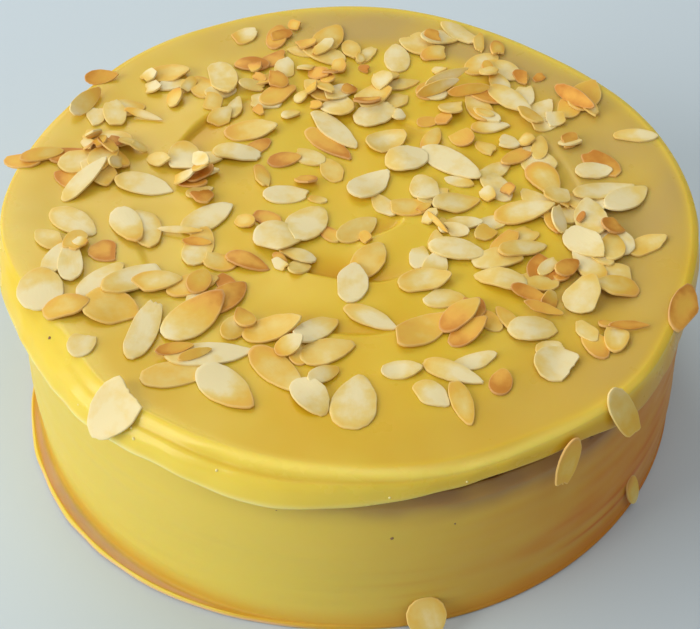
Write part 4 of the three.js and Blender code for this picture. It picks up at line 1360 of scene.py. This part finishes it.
class CAKE_OT_crumbs(bpy.types.Operator):
    """Catch sponge crumbs in the coat, most of them just below the ledge, and one on the top"""

    bl_idname = "cake.crumbs"
    bl_label = "Crumbs"

    def execute(self, context):
        draw = np.random.default_rng(CRUMB_SEED)
        count = context.scene.cake_sizes.crumbs
        angles = np.radians(draw.uniform(*CRUMB_BEARINGS, count))
        heights = SPONGE_HEIGHT - between(CRUMB_DEPTHS, draw.random(count) ** CRUMB_GATHER)
        radii = draw.uniform(*CRUMB_RADII, count)
        centres = on_plan(coat_radius(angles, heights) - CRUMB_SINK, angles, heights)
        centres[0] = (*CRUMB_ON_TOP, surface_height(*CRUMB_ON_TOP) - BALL_SINK)
        material = sponge_material(context.scene.cake_colours)
        ball_piece("sponge_crumbs", centres, radii, CRUMB_ROUGHNESS, material, "sponge", CRUMB_SEED + 1)
        return {"FINISHED"}


class CAKE_OT_bubbles(bpy.types.Operator):
    """Set air bubbles in the custard along the ledge"""

    bl_idname = "cake.bubbles"
    bl_label = "Bubbles"

    def execute(self, context):
        draw = np.random.default_rng(BUBBLE_SEED)
        count = context.scene.cake_sizes.bubbles
        angles = np.radians(draw.normal(*BUBBLE_BEARINGS, count))
        lip, crest = lip_radius(angles), crest_radius(angles)
        radius = lip - draw.uniform(*BUBBLE_PLACES, count) ** 2 * BUBBLE_BAND * (lip - crest)
        x, y = radius * np.cos(angles), radius * np.sin(angles)
        centres = np.stack([x, y, surface_height(x, y) - BALL_SINK], axis=-1)
        radii = draw.uniform(*BUBBLE_RADII, count)
        material = bubble_material(context.scene.cake_colours)
        ball_piece(
            "custard_bubbles", centres, radii, BUBBLE_ROUGHNESS, material, "custard_top", BUBBLE_SEED + 1
        )
        return {"FINISHED"}


def aim(thing, place, target, roll=0):
    """Put a camera or light at a place, looking at a target."""
    back = (Vector(place) - Vector(target)).normalized()
    turn = back.to_track_quat("Z", "Y").to_matrix().to_4x4()
    thing.matrix_world = Matrix.Translation(place) @ turn @ Matrix.Rotation(roll, 4, "Z")


def make_camera(scene, stage):
    """Look at the cake from above its front."""
    camera = bpy.data.cameras.new("camera")
    camera.lens = stage.lens
    camera.sensor_width = SENSOR_WIDTH
    scene.camera = add_to_scene("camera", camera)
    away, above = stage.distance * math.cos(stage.elevation), stage.distance * math.sin(stage.elevation)
    aim(scene.camera, (0, -away, above), CAMERA_TARGET, stage.roll)


def make_lights(scene, stage):
    """Large soft lights in a pale room."""
    for name, (share, size, place, colour) in LIGHTS.items():
        light = bpy.data.lights.new(name, "AREA")
        light.energy = share * stage.key
        light.size = size
        light.color = colour
        aim(add_to_scene(name, light), place, LIGHT_TARGET)
    scene.world = bpy.data.worlds.new("soft room")
    scene.world.use_nodes = True
    tree = scene.world.node_tree
    set_inputs(tree, tree.nodes["Background"], {"Color": ROOM_COLOUR, "Strength": ROOM_STRENGTH})


def make_floor(stage):
    """A wide plain floor."""
    mesh = bpy.data.meshes.new("floor")
    corners = [(-1, -1), (1, -1), (1, 1), (-1, 1)]
    mesh.from_pydata([(x * FLOOR_REACH, y * FLOOR_REACH, 0) for x, y in corners], [], [(0, 1, 2, 3)])
    mesh.materials.append(floor_material(stage))
    floor = add_to_scene("floor", mesh)


class CAKE_OT_stage(bpy.types.Operator):
    """Make the camera, the soft light and the floor"""

    bl_idname = "cake.stage"
    bl_label = "Stage"

    def execute(self, context):
        scene, stage = context.scene, context.scene.cake_stage
        scene.view_settings.view_transform = "Standard"
        make_camera(scene, stage)
        make_lights(scene, stage)
        make_floor(stage)
        return {"FINISHED"}


OPERATORS = (
    CAKE_OT_stage, CAKE_OT_sponge, CAKE_OT_custard_side, CAKE_OT_custard_top,
    CAKE_OT_almond_flakes, CAKE_OT_crumbs, CAKE_OT_bubbles,
)
SETTINGS = {"cake_colours": CakeColours, "cake_sizes": CakeSizes, "cake_stage": StageSettings}


class VIEW3D_PT_cake(bpy.types.Panel):
    """The cake's settings and pieces"""

    bl_label = "Almond Custard Cake"
    bl_idname = "VIEW3D_PT_cake"
    bl_space_type = "VIEW_3D"
    bl_region_type = "UI"
    bl_category = "Cake"

    def draw(self, context):
        for holder, group in SETTINGS.items():
            box = self.layout.box()
            for name in group.__annotations__:
                box.prop(getattr(context.scene, holder), name)
        for operator in OPERATORS:
            self.layout.operator(operator.bl_idname)


def register():
    for group in (*SETTINGS.values(), *OPERATORS, VIEW3D_PT_cake):
        bpy.utils.register_class(group)
    for holder, group in SETTINGS.items():
        setattr(bpy.types.Scene, holder, PointerProperty(type=group))


def unregister():
    for holder in SETTINGS:
        delattr(bpy.types.Scene, holder)
    for group in reversed((*SETTINGS.values(), *OPERATORS, VIEW3D_PT_cake)):
        bpy.utils.unregister_class(group)


def main():
    register()
    bpy.ops.cake.stage()
    bpy.ops.cake.sponge()
    bpy.ops.cake.custard_side()
    bpy.ops.cake.custard_top()
    bpy.ops.cake.almond_flakes()
    bpy.ops.cake.crumbs()
    bpy.ops.cake.bubbles()


if __name__ == "__main__":
    main()
